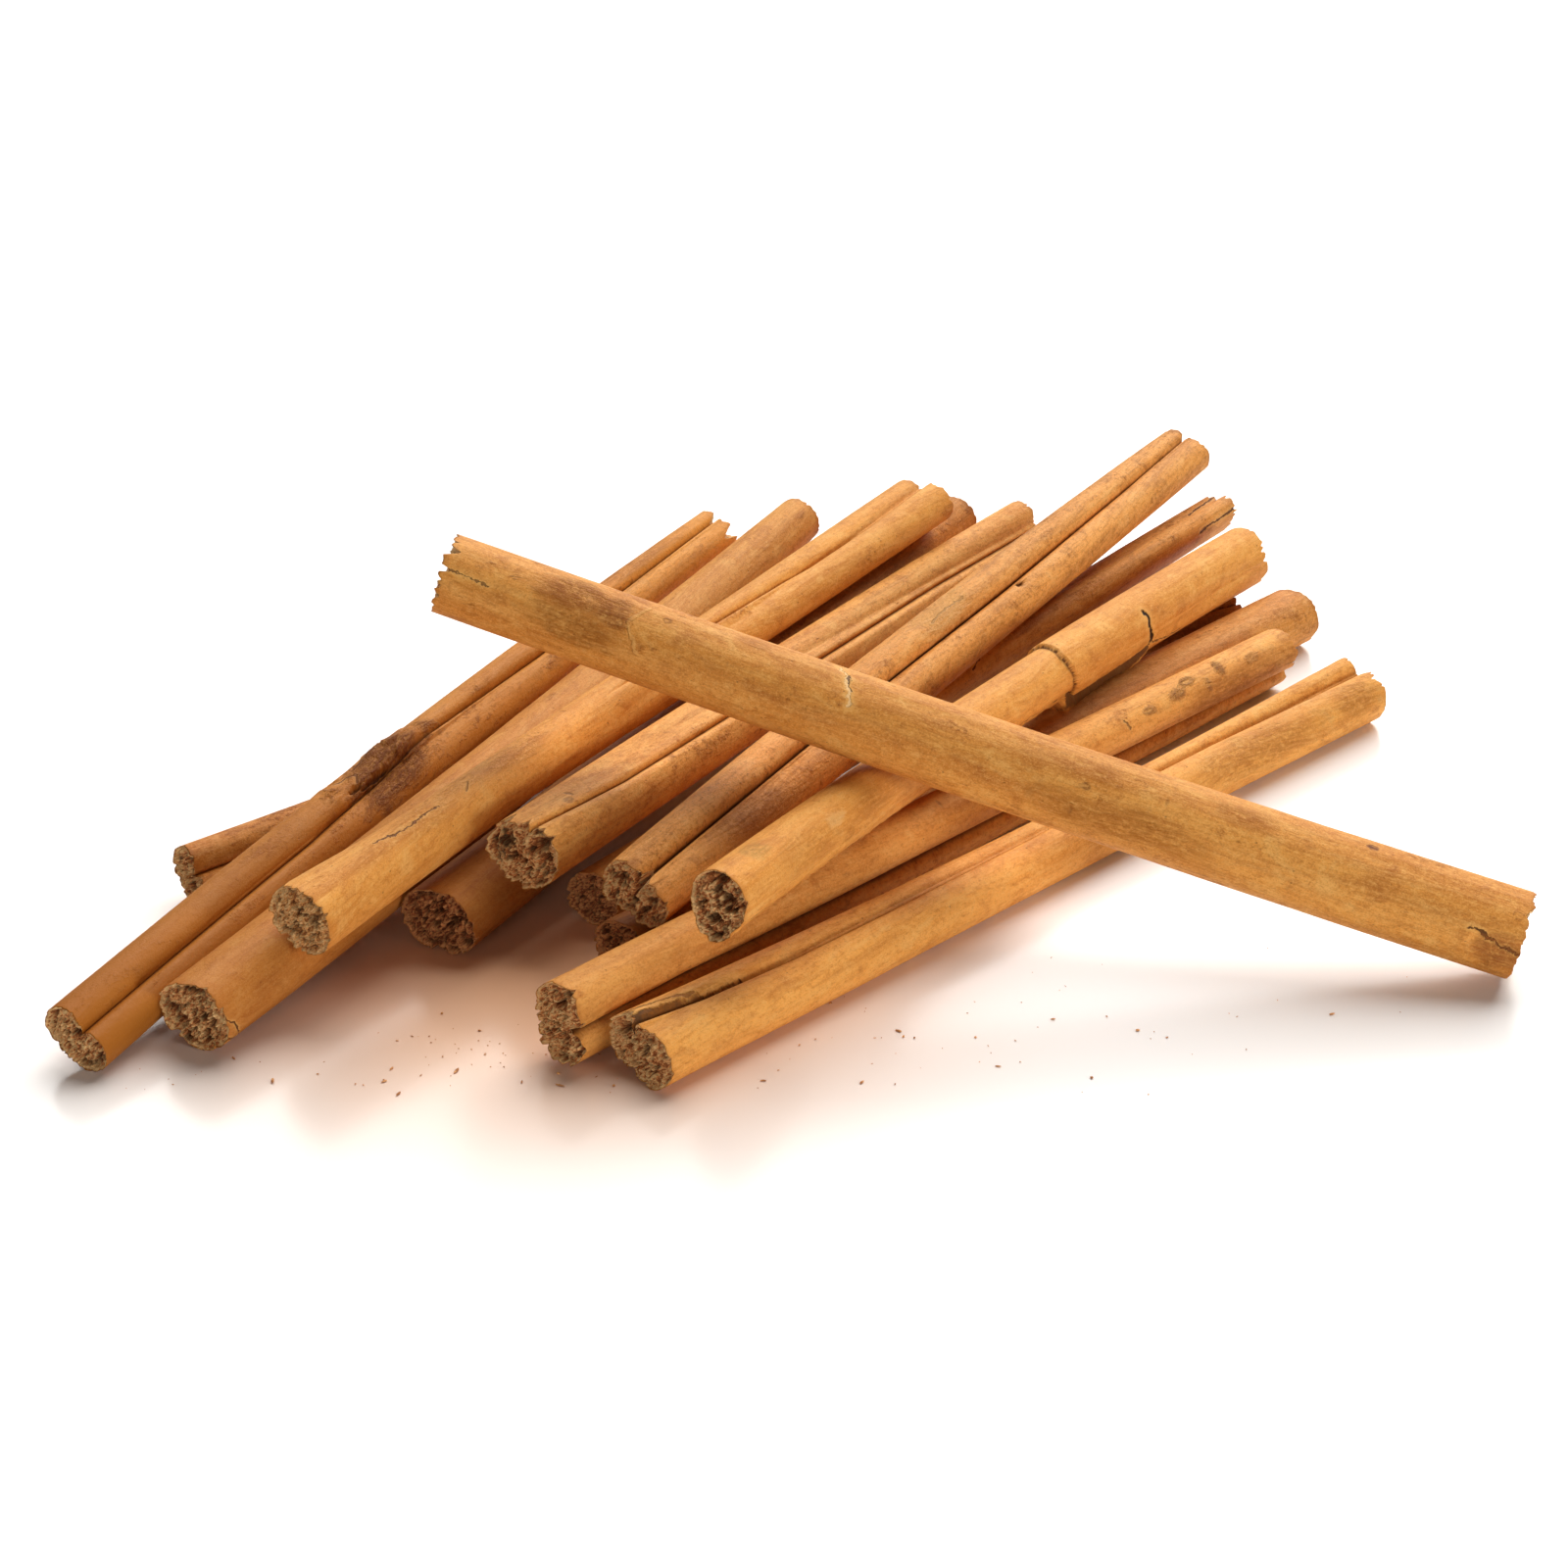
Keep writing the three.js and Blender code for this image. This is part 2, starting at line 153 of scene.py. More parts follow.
def arcAt(quill, u, degrees):  # millimetres round from the groove to a direction, and all the way round
    t, ways = u / quill["length"], np.linspace(0, 360, 721)
    turned = degrees - float(np.degrees(bend(quill, t)))
    reach, c, s, eye = outline(quill, t, np.radians(ways) + bend(quill, t))
    x, y = reach * c, eye + reach * s
    gathered = np.concatenate([[0], np.cumsum(np.hypot(np.diff(x), np.diff(y)))])
    whole = gathered[-1]
    return float(np.interp(turned % 360, ways, gathered)) + math.floor(turned / 360) * whole, whole


def slit(quill, t, arc):  # how deep the groove between the two rolls is cut, and how much one lip lies lower
    groove = quill["groove"]
    start = groove.get("start", -1)
    begun = smoothStep(start, start + 0.12, t)
    deep = begun * between(groove["deep"], t) * np.exp(-np.abs(arc / groove["wide"]) ** 1.3)
    return deep, begun * groove["lip"] * np.where(arc > 0, np.exp(-arc / 1.4), 0)


def relief(quill, u, angle):  # how far the bark lies below its outline: three sizes of noise, dents and chips
    turns, low = angle / (2 * np.pi), 0
    for i, (long, many, part) in enumerate(wrinkles["waves"]):
        low = low + part * (0.5 + 0.5 * noise(u / long, turns * many, quill["seed"] + i, many))
    low = wrinkles["deep"] * low
    for at, size, depth in quill.get("dents", ()):  # round hollows, or bumps where the depth is negative
        du, da = awayFrom(u, angle, at, size)
        low = low + depth * np.exp(-du ** 2 - da ** 2)
    for at, size, depth in quill.get("chips", ()):  # where the outer layer has come off, with a ragged step
        edge = np.maximum(*np.abs(awayFrom(u, angle, at, size)))
        edge = edge + 0.22 * noise(u / 1.1, turns * 60, quill["seed"] + 8, 60)
        low = low + depth * (1 - smoothStep(0.9, 1.0, edge))
    return low


def openings(quill, u, angle):  # small hollows in the bark, with uneven edges; their depth also sets painted shade
    deep = 0 * u
    for at, size, depth in quill.get("gaps", ()):
        off = np.hypot(*awayFrom(u, angle, at, size)) + 0.25 * noise(u / 0.5, angle * 12, quill["seed"] + 9)
        deep = np.maximum(deep, depth * (1 - smoothStep(0.6, 1.1, off)))
    return deep


def sleeve(quill, u, angle):  # how far the outer layer lies over the bark up to its torn lip, and the painted shade past its edge and in the tear
    if "sleeve" not in quill:
        return 0 * u, 0 * u
    wrap, degrees = quill["sleeve"], np.degrees(wrapped(angle))
    blur, (dark, dies) = wrap["blur"], wrap["shade"]
    ragged = wrap["ragged"] * noise(u / 0.7, degrees / 9, 77)
    edge = np.interp(degrees, *zip(*wrap["edge"])) + ragged
    rise = np.interp(u, *zip(*wrap["rise"])) + 1.2 * ragged
    lip, below = (np.interp(u, *zip(*wrap[side])) + 14 * ragged for side in ("lip", "below"))
    outside = (1 - smoothStep(lip - blur, lip + blur, degrees)) * (lip > below)
    gap = smoothStep(below - blur, below + blur, degrees) * outside
    # painted shade on the torn flap's inner wall
    hollow = smoothStep(below - 6, below - 3.5, degrees) * outside
    flap = (1 - smoothStep(below - 8, below + 2, degrees)) * smoothStep(-150, -90, degrees)
    pulled = wrap["pull"] * (1 - smoothStep(lip, 0, degrees)) * (degrees > lip - blur)
    on = smoothStep(0, wrap["step"], u - edge) * (1 - gap)
    # painted shade just past the outer layer's edge, plus the flap's wall
    shade = dark * np.exp(-np.maximum(edge - u, 0) / dies) * (u < edge + 0.06) + hollow
    return wrap["thick"] * on + rise * np.maximum(flap, pulled) - wrap["sunk"] * gap, np.clip(shade, 0, 1)


def stations(quill):  # places along the quill, closer together near its ends and where something happens
    fine = np.linspace(0, quill["length"], 4000)
    weight = 1 + 2.2 * np.exp(-fine / 2) + 2.2 * np.exp(-(quill["length"] - fine) / 2)
    for spot, reach in quill.get("busy", []):
        weight = weight + 2.5 * np.exp(-((fine - spot) / reach) ** 2)
    gathered = np.cumsum(weight) - weight[0]
    return np.interp(np.linspace(0, gathered[-1], grid["along"]), gathered, fine) / quill["length"]


def rim(quill, angle, end):  # how far in from the cut the bark has broken away: teeth and notches
    turns, seed = angle / (2 * np.pi), quill["seed"] + 20 + 20 * end
    (wide, mid, fine), (a, b, c) = teeth["around"], teeth["parts"]
    ragged = 0.5 + a * noise(3.5, turns * wide, seed, wide) + b * noise(0.5, turns * mid, seed + 5, mid)
    ragged = ragged + c * np.maximum(noise(1.5, turns * fine, seed + 6, fine), 0) ** 2
    back = quill.get("ragged", (0.5, 0.5))[end] * ragged
    for at, depth, reach in quill.get("notches", ((), ()))[end]:
        off = abs(np.degrees(wrapped(angle - math.radians(at)))) / reach
        back = back + depth * np.maximum(1 - off, 0) ** 0.8
    return np.maximum(back, 0)


def chunks(x, y, size, seed):  # the nearest of points scattered one to a square: how far off, and its own share
    across, up = np.floor(x / size), np.floor(y / size)
    nearest, share = 9 + 0 * x, 0 * x
    for i in (-1, 0, 1):
        for j in (-1, 0, 1):
            a, b = across + i, up + j
            off = np.hypot(x / size - a - lattice(a, b, seed), y / size - b - lattice(a, b, seed + 1))
            share = np.where(off < nearest, lattice(a, b, seed + 2), share)
            nearest = np.minimum(off, nearest)
    return nearest, share


def crumbled(quill, end, x, y, inside):  # a cut face: how deep its broken layers lie, its painted shade in gaps and holes, and how pale they are
    seed = quill["seed"] + 60 + 9 * end
    under = [radius - np.hypot(x - rx, y - ry) for rx, ry, radius in rolls(quill, end)[:2]]
    under = np.maximum(np.maximum(*under), 0.35 * inside)  # how deep it lies under the bark of its own roll
    (bent, shaken), (wide, fine), curl = cutFace["warp"], cutFace["pits"], cutFace["curl"]
    warp = 0.5 * noise(x / bent, y / bent, seed) + 0.3 * noise(x / shaken, y / shaken, seed + 1)
    layer = under / cutFace["layer"] + 1.7 * warp
    curls = 0.5 + 0.3 * noise(layer, x / curl, seed + 2) + 0.3 * noise(layer + 9, y / curl, seed + 3)
    off, big = chunks(x + 0.35 * warp, y - 0.3 * warp, cutFace["lumps"][0], seed + 4)
    near, small = chunks(x + 0.2 * warp, y, cutFace["lumps"][1], seed + 7)
    pits = noise(x / wide + warp, y / wide, seed + 10) + 0.6 * noise(x / fine, y / fine, seed + 11)
    holes, gaps = smoothStep(0.3, 0.85, pits), smoothStep(0.54, 0.74, curls)
    wall = smoothStep(*cutFace["wall"], inside)
    (lump, lumpEdge), (bit, bitEdge) = cutFace["lumpDeep"], cutFace["bitDeep"]
    deep = wall * (lump * (1 - big) + lumpEdge * off ** 2 + bit * (1 - small) + bitEdge * near ** 2
                   + cutFace["gapDeep"] * gaps + cutFace["holeDeep"] * holes)
    deep = deep + cutFace["edgeDeep"] * small * (1 - wall)
    # painted shade in the face's gaps and holes and between its lumps
    dark = wall * np.clip(0.55 * gaps + 0.85 * holes + 0.25 * (off > 0.55), 0, 1)
    # each hollow is sunk, with painted shade in it
    for hx, hy, radius, depth in quill.get("hollows", ((), ()))[end]:
        hollow = np.exp(-(((x - hx) ** 2 + (y - hy) ** 2) / radius ** 2) ** 1.6) * (0.7 + 0.3 * small)
        deep, dark = deep + depth * wall * hollow, np.maximum(dark, hollow)
    return deep, dark, np.maximum(0.55 * big + 0.45 * small, 0.95 * (1 - wall))


def patchwork(quill, u, arc, whole):  # for each point: how far off the nearest patch is, its colour, its relief
    nearest, tint, shape = np.full(u.shape, farPatch), np.zeros(u.shape + (4,)), np.zeros(u.shape + (3,))
    for patch in quill.get("patches", ()):
        (along, degrees), (long, wide) = patch["at"], patch["size"]
        across = arcAt(quill, along, degrees)[0]
        turned = arc - whole * (arc > whole / 2) if across < wide else arc
        off = np.hypot((u - along) / long, (turned - across) / wide)
        mine = off < nearest
        nearest = np.minimum(off, nearest)
        tint[mine] = tone(*patch.get("colour", quill["look"]["rusty"]))[:3] + (patch["strength"],)
        shape[mine] = patch.get("deep", 0), patch.get("rough", 0.6), patch.get("ring", False)
    return nearest, tint, shape


def quillShape(quill):  # the outline swept along the quill, less its relief, and rings over both ends
    count, rings = grid["around"], grid["rings"]
    share = np.arange(count) / count
    angle = 2 * np.pi * share - grid["crowd"] * np.sin(2 * np.pi * share)  # crowded at the groove
    t = stations(quill)[:, None]
    angles = angle[None, :] + bend(quill, t)
    reach, c, s, eye = outline(quill, t, angles)
    soft = reach
    for _ in range(grid["rounded"]):
        soft = (np.roll(soft, 1, 1) + 2 * soft + np.roll(soft, -1, 1)) / 4
    reach = reach + (soft - reach) * smoothStep(0.1, 0.4, abs(wrapped(angle)))[None, :]
    x, y = reach * c, eye + reach * s
    step = np.hypot(np.roll(x, -1, 1) - x, np.roll(y, -1, 1) - y)
    arc = np.cumsum(step, 1) - step  # millimetres round from the groove
    whole = arc[:, -1:] + step[:, -1:]
    broken = rim(quill, angles[0], 0), rim(quill, angles[-1], 1)
    u = broken[0][None, :] + (quill["length"] - broken[0] - broken[1])[None, :] * t
    deep, lower = slit(quill, t, np.where(arc > whole / 2, arc - whole, arc))
    deep = np.maximum(deep, openings(quill, u, angles))
    layer, shade = sleeve(quill, u, angles)
    body = np.maximum(reach + layer - relief(quill, u, angles) - deep - lower, 0.3)
    points = [place(quill, t, u, body * c, eye + body * s).reshape(-1, 3)]
    cut, layers, flat = [np.zeros(u.size)], [np.zeros(u.size)], [np.stack([u, arc], -1).reshape(-1, 2)]
    # painted shade: the deeper a groove or hollow, the darker the bark, with the sleeve's painted shade as well
    pits = [np.maximum(np.clip((deep - 0.25) / 0.75, 0, 1), shade).ravel()]
    shares = (1 - np.arange(1, rings + 1) / rings)[:-1, None] ** grid["ringPower"]
    for end, inward in ((0, 1), (1, -1)):
        edge, middle = body[-end][None, :], eye[-end, 0]
        px, py, inside = shares * edge * c[-end], eye[-end] + shares * edge * s[-end], (1 - shares) * edge
        depth, pitShade, pale = crumbled(quill, end, px, py, inside)
        over = end * quill["length"] + inward * (broken[end][None, :] * np.exp(-inside / 1.2) + depth)
        core = np.array([end * quill["length"] + inward * cutFace["coreDeep"]])
        points.append(place(quill, np.full_like(over, end), over, px, py).reshape(-1, 3))
        points.append(place(quill, np.array([float(end)]), core, np.array([0.0]), np.array([middle])))
        cut.append(np.ones(over.size + 1))
        pits.append(np.append(pitShade.ravel(), 0.5))
        layers.append(np.append(pale.ravel(), 0.5))
        flat.append(np.vstack([np.stack([px, py], -1).reshape(-1, 2), [[0, 0]]]))
    values = dict(cut=np.concatenate(cut), pitShade=np.concatenate(pits), layer=np.concatenate(layers))
    return np.vstack(points), values, flat, whole, patchwork(quill, u, arc, whole)


def quillFaces():  # quads along the bark and over both ends, and a fan of triangles at each end's middle
    count, rows, rings = grid["around"], grid["along"], grid["rings"] - 1
    j = np.arange(count)
    k = (j + 1) % count
    side = np.arange(rows - 1)[:, None] * count
    quads = [np.stack([side + j, side + count + j, side + count + k, side + k], -1).reshape(-1, 4)]
    fans = []
    start = rows * count
    for rimStart, outward in ((0, 1), ((rows - 1) * count, -1)):
        loops = np.vstack([rimStart + j[None, :], start + np.arange(rings)[:, None] * count + j])
        a, b = loops[:-1], loops[1:]
        ring = np.stack([a[:, j], a[:, k], b[:, k], b[:, j]], -1).reshape(-1, 4)
        core = start + rings * count
        fan = np.stack([loops[-1][j], loops[-1][k], np.full(count, core)], -1)
        quads.append(ring[:, ::outward])
        fans.append(fan[:, ::outward])
        start = core + 1
    return np.vstack(quads), np.vstack(fans)


def quillMaps(quill, flat, whole, corners):  # for each face's corner: true millimetres, and a place in a square
    count, rows, rings = grid["around"], grid["along"], grid["rings"] - 1
    bark = np.stack([np.repeat(np.arange(rows) / (rows - 1), count),
                     np.tile(np.arange(count) / count, rows) * packing["bark"]], -1)
    scale = max(quill["width"]) * packing["reach"]
    faces = [face / scale * packing["size"] + middle for face, middle in zip(flat[1:], packing["middles"])]
    true, packed = np.vstack(flat)[corners], np.vstack([bark] + faces)[corners]
    onSide = np.arange(len(corners)) < (rows - 1) * count * 4
    closing = onSide & (corners % count == 0) & (np.arange(len(corners)) % 4 >= 2)  # the last quad round
    true[closing, 1] = whole[corners[closing] // count, 0]
    packed[closing, 1] = packing["bark"]
    for end, row in ((0, 0), (1, rows - 1)):
        mine = ~onSide & (corners // count == row)
        edge = flat[1 + end][:count] * (1 / (1 - 1 / rings) ** grid["ringPower"])
        true[mine] = edge[corners[mine] % count]
        packed[mine] = true[mine] / scale * packing["size"] + packing["middles"][end]
    return dict(bark=true, OFBake=packed)


def quillObject(quill):  # one quill's mesh, maps, surface values and bark, in place of its plain solid
    points, values, flat, whole, patches = quillShape(quill)
    quads, fans = quillFaces()
    corners = np.concatenate([quads.ravel(), fans.ravel()])
    sizes = np.repeat([4, 3], [len(quads), len(fans)])
    mesh = bpy.data.meshes.new(quill["node"] + "_bark")
    mesh.vertices.add(len(points))
    mesh.vertices.foreach_set("co", (points * mm).ravel())
    mesh.loops.add(len(corners))
    mesh.loops.foreach_set("vertex_index", corners.astype(np.int32))
    mesh.polygons.add(len(sizes))
    mesh.polygons.foreach_set("loop_start", (np.cumsum(sizes) - sizes).astype(np.int32))
    mesh.polygons.foreach_set("loop_total", sizes.astype(np.int32))
    mesh.update(calc_edges=True)
    mesh.polygons.foreach_set("use_smooth", np.ones(len(sizes), bool))
    for name, uv in quillMaps(quill, flat, whole, corners).items():
        mesh.uv_layers.new(name=name).data.foreach_set("uv", uv.astype(np.float32).ravel())
    for name, value in values.items():
        mesh.attributes.new(name, "FLOAT", "POINT").data.foreach_set("value", value.astype(np.float32))
    kinds = (("patchNear", "FLOAT", "value", farPatch), ("patchTone", "FLOAT_COLOR", "color", 0),
             ("patchShape", "FLOAT_VECTOR", "vector", 0))
    for (name, kind, field, blank), patch in zip(kinds, patches):
        value = np.full((len(points),) + patch.shape[2:], blank, np.float32)
        value[:len(flat[0])] = patch.reshape((-1,) + patch.shape[2:])
        mesh.attributes.new(name, kind, "POINT").data.foreach_set(field, value.ravel())
    paintBark(quill, mesh)
    piece = added(quill["node"] + "_bark", mesh)
    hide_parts(quill["node"])
    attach(piece, "root")
    print("made", quill["node"], len(mesh.vertices), "points")


def added(name, data):  # an object that holds the data, put into the scene
    made = bpy.data.objects.new(name, data)
    bpy.context.scene.collection.objects.link(made)
    return made


def tone(red, green, blue):  # a screen colour from 0 to 255 as the renderer's linear colour
    return tuple(((c / 255 + 0.055) / 1.055) ** 2.4 if c > 10 else c / 3294.6 for c in (red, green, blue)) + (1,)


class Wire:  # one output in a material; sums with it are worked out in the material
    def __init__(self, paint, socket):
        self.paint, self.socket = paint, socket

    def maths(self, operation, *others):
        return self.paint.node("ShaderNodeMath", {"operation": operation}, dict(enumerate((self,) + others)))

    def __add__(self, other):
        return self.maths("ADD", other)

    def __mul__(self, other):
        return self.maths("MULTIPLY", other)

    def __sub__(self, other):
        return self.maths("SUBTRACT", other)

    def __rsub__(self, other):
        return self.paint.node("ShaderNodeMath", {"operation": "SUBTRACT"}, {0: other, 1: self})

    def __truediv__(self, other):
        return self.maths("DIVIDE", other)

    __radd__ = __add__
    __rmul__ = __mul__

    def ramp(self, low, high):  # 0 up to low, 1 from high on, a soft curve between
        soft = {"interpolation_type": "SMOOTHSTEP"}
        return self.paint.node("ShaderNodeMapRange", soft, {0: self, 1: low, 2: high})

    def beside(self, output):  # what else the same step gives
        return Wire(self.paint, self.socket.node.outputs[output])


class Paint:  # a material and what it is made of
    def __init__(self, name):
        self.material = bpy.data.materials.new(name)
        self.material.use_nodes = True
        self.tree = self.material.node_tree
        self.shader = self.tree.nodes["Principled BSDF"]

    def node(self, kind, settings, inputs, output=0):
        made = self.tree.nodes.new(kind)
        for key, value in settings.items():
            setattr(made, key, value)
        for key, value in inputs.items():
            self.feed(made.inputs[key], value)
        return Wire(self, made.outputs[output])

    def feed(self, socket, value):
        if isinstance(value, Wire):
            self.tree.links.new(value.socket, socket)
        else:
            socket.default_value = value

    def finish(self, mesh, values):  # the shader's own values, and the material on its mesh
        for name, value in values.items():
            self.feed(self.shader.inputs[name], value)
        mesh.materials.append(self.material)

    def mix(self, share, a, b):
        return self.node("ShaderNodeMix", {"data_type": "RGBA"}, {0: share, 6: a, 7: b}, 2)

    def vector(self, x, y, z=0.0):
        return self.node("ShaderNodeCombineXYZ", {}, {0: x, 1: y, 2: z})

    def vectors(self, operation, a, b, output=0):  # a sum of two vectors
        return self.node("ShaderNodeVectorMath", {"operation": operation}, {0: a, 1: b}, output)

    def attribute(self, name, output="Fac"):
        return self.node("ShaderNodeAttribute", {"attribute_name": name}, {}, output)

    def cloud(self, where, detail, rough, bent):  # noise from 0 to 1 at millimetres that are already scaled
        inputs = {"Vector": where, "Scale": 1.0, "Detail": detail, "Roughness": rough, "Distortion": bent}
        return self.node("ShaderNodeTexNoise", {}, inputs)

    def cells(self, where):  # distance from the nearest of scattered points
        return self.node("ShaderNodeTexVoronoi", {}, {"Vector": where, "Scale": 1.0})


def strokeDistance(paint, where, path):  # millimetres to the nearest of the lines through the path's points
    nearest = None
    for (u0, v0), (u1, v1) in zip(path, path[1:]):
        line, square = (u1 - u0, v1 - v0, 0), (u1 - u0) ** 2 + (v1 - v0) ** 2 + tiny
        off = paint.vectors("SUBTRACT", where, (u0, v0, 0))
        share = paint.vectors("DOT_PRODUCT", off, tuple(c / square for c in line), 1)
        share = paint.node("ShaderNodeMath", {"operation": "ADD", "use_clamp": True}, {0: share, 1: 0.0})
        foot = paint.node("ShaderNodeVectorMath", {"operation": "SCALE"}, {0: line, "Scale": share})
        far = paint.vectors("DISTANCE", off, foot, 1)
        nearest = far if nearest is None else nearest.maths("MINIMUM", far)
    return nearest


grains = dict(  # noise: how fine along and round the bark, its shift, detail, roughness, distortion
    sway=(0.05, 0.12, 3, 2, 0.55, 0), broad=(0.035, 0.17, 0, 3, 0.55, 0), bands=(0.05, 0.75, 11, 3, 0.55, 0),
    thread=(0.4, 3.4, 17, 5, 0.62, 0), mottle=(0.26, 0.4, 53, 5, 0.64, 0.6), grit=(1.5, 2, 37, 4, 0.7, 0),
    dust=(5, 6, 59, 2, 0.6, 0), vein=(0.03, 0.9, 23, 3, 0.5, 0), blotch=(0.085, 0.24, 31, 5, 0.66, 0.5),
    jagged=(0.9, 0.9, 61, 3, 0.7, 0), fibre=(3, 3, 71, 3, 0.65, 0.6))
surface = dict(sway=3.0, bump=0.85, height=0.00018, sheen=0.16, rough=0.48, threadRough=0.25, cutRough=0.2)


def paintBark(quill, mesh):  # noise tints and raises it, painted shade darkens its near end, then come cracks, patches, frayed ends, cut faces and painted shade in grooves and hollows
    look, seed = quill["look"], quill["seed"] * 7.31
    paint = Paint(quill["node"] + "_bark")
    split = paint.node("ShaderNodeSeparateXYZ", {}, {0: paint.node("ShaderNodeUVMap", {"uv_map": "bark"}, {})})
    u, v = split, split.beside(1)
    cut, pitShade = paint.attribute("cut"), paint.attribute("pitShade")

    def at(along, across, shift, v=v):
        return paint.vector(u * along, v * across, seed + shift)

    def grain(name, v=v):
        along, across, shift, detail, rough, bent = grains[name]
        return paint.cloud(at(along, across, shift, v), detail, rough, bent)

    def flecks(along, across, shift, edge, chosen):  # a small mark in some of the cells
        cell = paint.cells(at(along, across, shift))
        pick = paint.node("ShaderNodeSeparateColor", {}, {0: cell.beside("Color")})
        return (1 - cell.ramp(*edge)) * pick.ramp(*chosen)

    def wash(under, share, name):  # one of the look's colours over what is there
        return paint.mix(share, under, tone(*look[name]))

    swayed = v + (grain("sway") - 0.5) * surface["sway"]
    broad, bands, thread = grain("broad"), grain("bands", swayed), grain("thread", swayed)
    mottle, grit, dust = grain("mottle"), grain("grit"), grain("dust")
    veins = 1 - ((grain("vein", swayed) - 0.5).maths("ABSOLUTE") * 22.0).ramp(0.0, 1.0)
    blotch = grain("blotch")
    rusty = blotch + (grit - 0.5) * 0.5 + (mottle - 0.5) * 0.3
    rusty = rusty.ramp(0.7 - 0.22 * look["rust"], 0.84 - 0.2 * look["rust"])
    specks = flecks(0.62, 0.9, 41, (0.04, 0.11), (0.76, 0.78))
    dashes = flecks(0.42, 0.17, 47, (0.06, 0.16), (1 - look["dashes"], 1.01 - look["dashes"]))

    colour = wash(tone(*look["mid"]), broad.ramp(0.3, 0.68), "pale")
    for pattern, dark, light in ((bands, 0.4, 0.25), (mottle, 0.6, 0.55), (thread, 0.35, 0.3), (grit, 0.5, 0.4),
                                 (dust, 0.4, 0.4)):
        colour = wash(colour, pattern.ramp(0.5, 0.7) * dark, "deep")
        colour = wash(colour, (1 - pattern.ramp(0.3, 0.48)) * light, "vein")
    colour = wash(colour, veins * 0.16, "vein")
    colour = wash(colour, rusty * 0.6, "rusty")
    for mark, dark in ((grit.ramp(0.52, 0.7) * rusty, 0.22), (dashes, 0.55), (specks, 0.5)):
        colour = wash(colour, mark * dark, "dark")
    # painted shade: the bark grows darker toward the near end
    colour = wash(colour, (1 - u / quill["length"]) * quill.get("paintedNearShade", 0.1), "deep")
    height = bands * 0.4 + thread * 0.35 + mottle * 0.6 + grit * 0.5 + dust * 0.25
    height = height - specks * 0.3 - dashes * 0.4 + rusty * grit * 0.5

    jagged = grain("jagged") - 0.5
    for crack in quill.get("cracks", []):
        places, arcs = [point[0] for point in crack["path"]], [arcAt(quill, *point) for point in crack["path"]]
        whole, arcs = arcs[0][1], [arc for arc, _ in arcs]
        turned = v
        if min(arcs) < 0:  # it lies across the groove, so the bark is measured both ways from there
            turned = v - v.maths("GREATER_THAN", whole / 2) * whole
        shaken = jagged * crack.get("jag", 1.0)
        wide = (mottle * 2.4 - 0.3).maths("MAXIMUM", 0.15) * crack["wide"]
        near = strokeDistance(paint, paint.vector(u + shaken, turned + shaken), list(zip(places, arcs)))
        line = 1 - near.ramp(wide * 0.4, wide)
        colour = wash(colour, (1 - near.ramp(wide, wide * 3.0)) * crack.get("halo", 0.35), "vein")
        colour = paint.mix(line * crack.get("strength", 0.9), colour, tone(*crack.get("colour", look["dark"])))
        height = height - line * crack.get("deep", 1.6)

    near, tint = paint.attribute("patchNear"), paint.attribute("patchTone", "Color")
    dented = paint.node("ShaderNodeSeparateXYZ", {}, {0: paint.attribute("patchShape", "Vector")})
    roughened, ringed = dented.beside(1), dented.beside(2)
    torn = near + (blotch - 0.5) + (mottle - 0.5) * 1.5 + (grit - 0.5) * 1.3
    spot = (1 - torn.ramp(0.6, 1.0)) * tint.beside("Alpha") * (1 - ringed * (1 - torn.ramp(0.15, 0.6)) * 0.7)
    spot = spot * (grit.ramp(0.35, 0.6) * 0.45 + thread.ramp(0.4, 0.62) * 0.4 + 0.28)
    colour = paint.mix(spot, colour, tint)
    height = height - spot * dented + spot * grit * roughened

    toEnd = u.maths("MINIMUM", quill["length"] - u)
    frayed = (1 - (toEnd + (grit - 0.5) * 1.6).ramp(0.1, 1.3)) * (1 - cut)
    colour = wash(colour, frayed * 0.55, "deep")
    flake, fibre = paint.attribute("layer"), grain("fibre")
    sponge = paint.cells(paint.vector(u * 3.4 + fibre * 2.0, v * 3.4 + fibre, seed + 73))
    shade = flake * 0.7 + fibre * 1.6 - sponge * 0.9 - 0.25
    inner = wash(tone(*look["cutDeep"]), shade.ramp(0.2, 0.7), "cutPale")
    inner = wash(inner, (1 - shade.ramp(0.12, 0.36)) * 0.6, "cutDark")
    # painted shade in the cut face's gaps and holes
    inner = wash(inner, pitShade.ramp(0.15, 0.85) * 0.8, "dark")
    # painted shade in the bark's grooves and hollows and past the sleeve's edge
    colour = wash(colour, pitShade.ramp(0.1, 0.9) * (1 - cut) * 0.85, "dark")
    colour = paint.mix(cut, colour, inner)
    height = height * (1 - cut) + (fibre.ramp(0.3, 0.7) * 2.0 - sponge * 2.0) * cut

    raised = {"Strength": surface["bump"], "Distance": surface["height"], "Height": height}
    bump = paint.node("ShaderNodeBump", {}, raised)
    rough = thread * surface["threadRough"] + surface["rough"] + cut * surface["cutRough"]
    finish = {"Base Color": colour, "Roughness": rough, "Normal": bump, "Specular IOR Level": surface["sheen"]}
    paint.finish(mesh, finish)


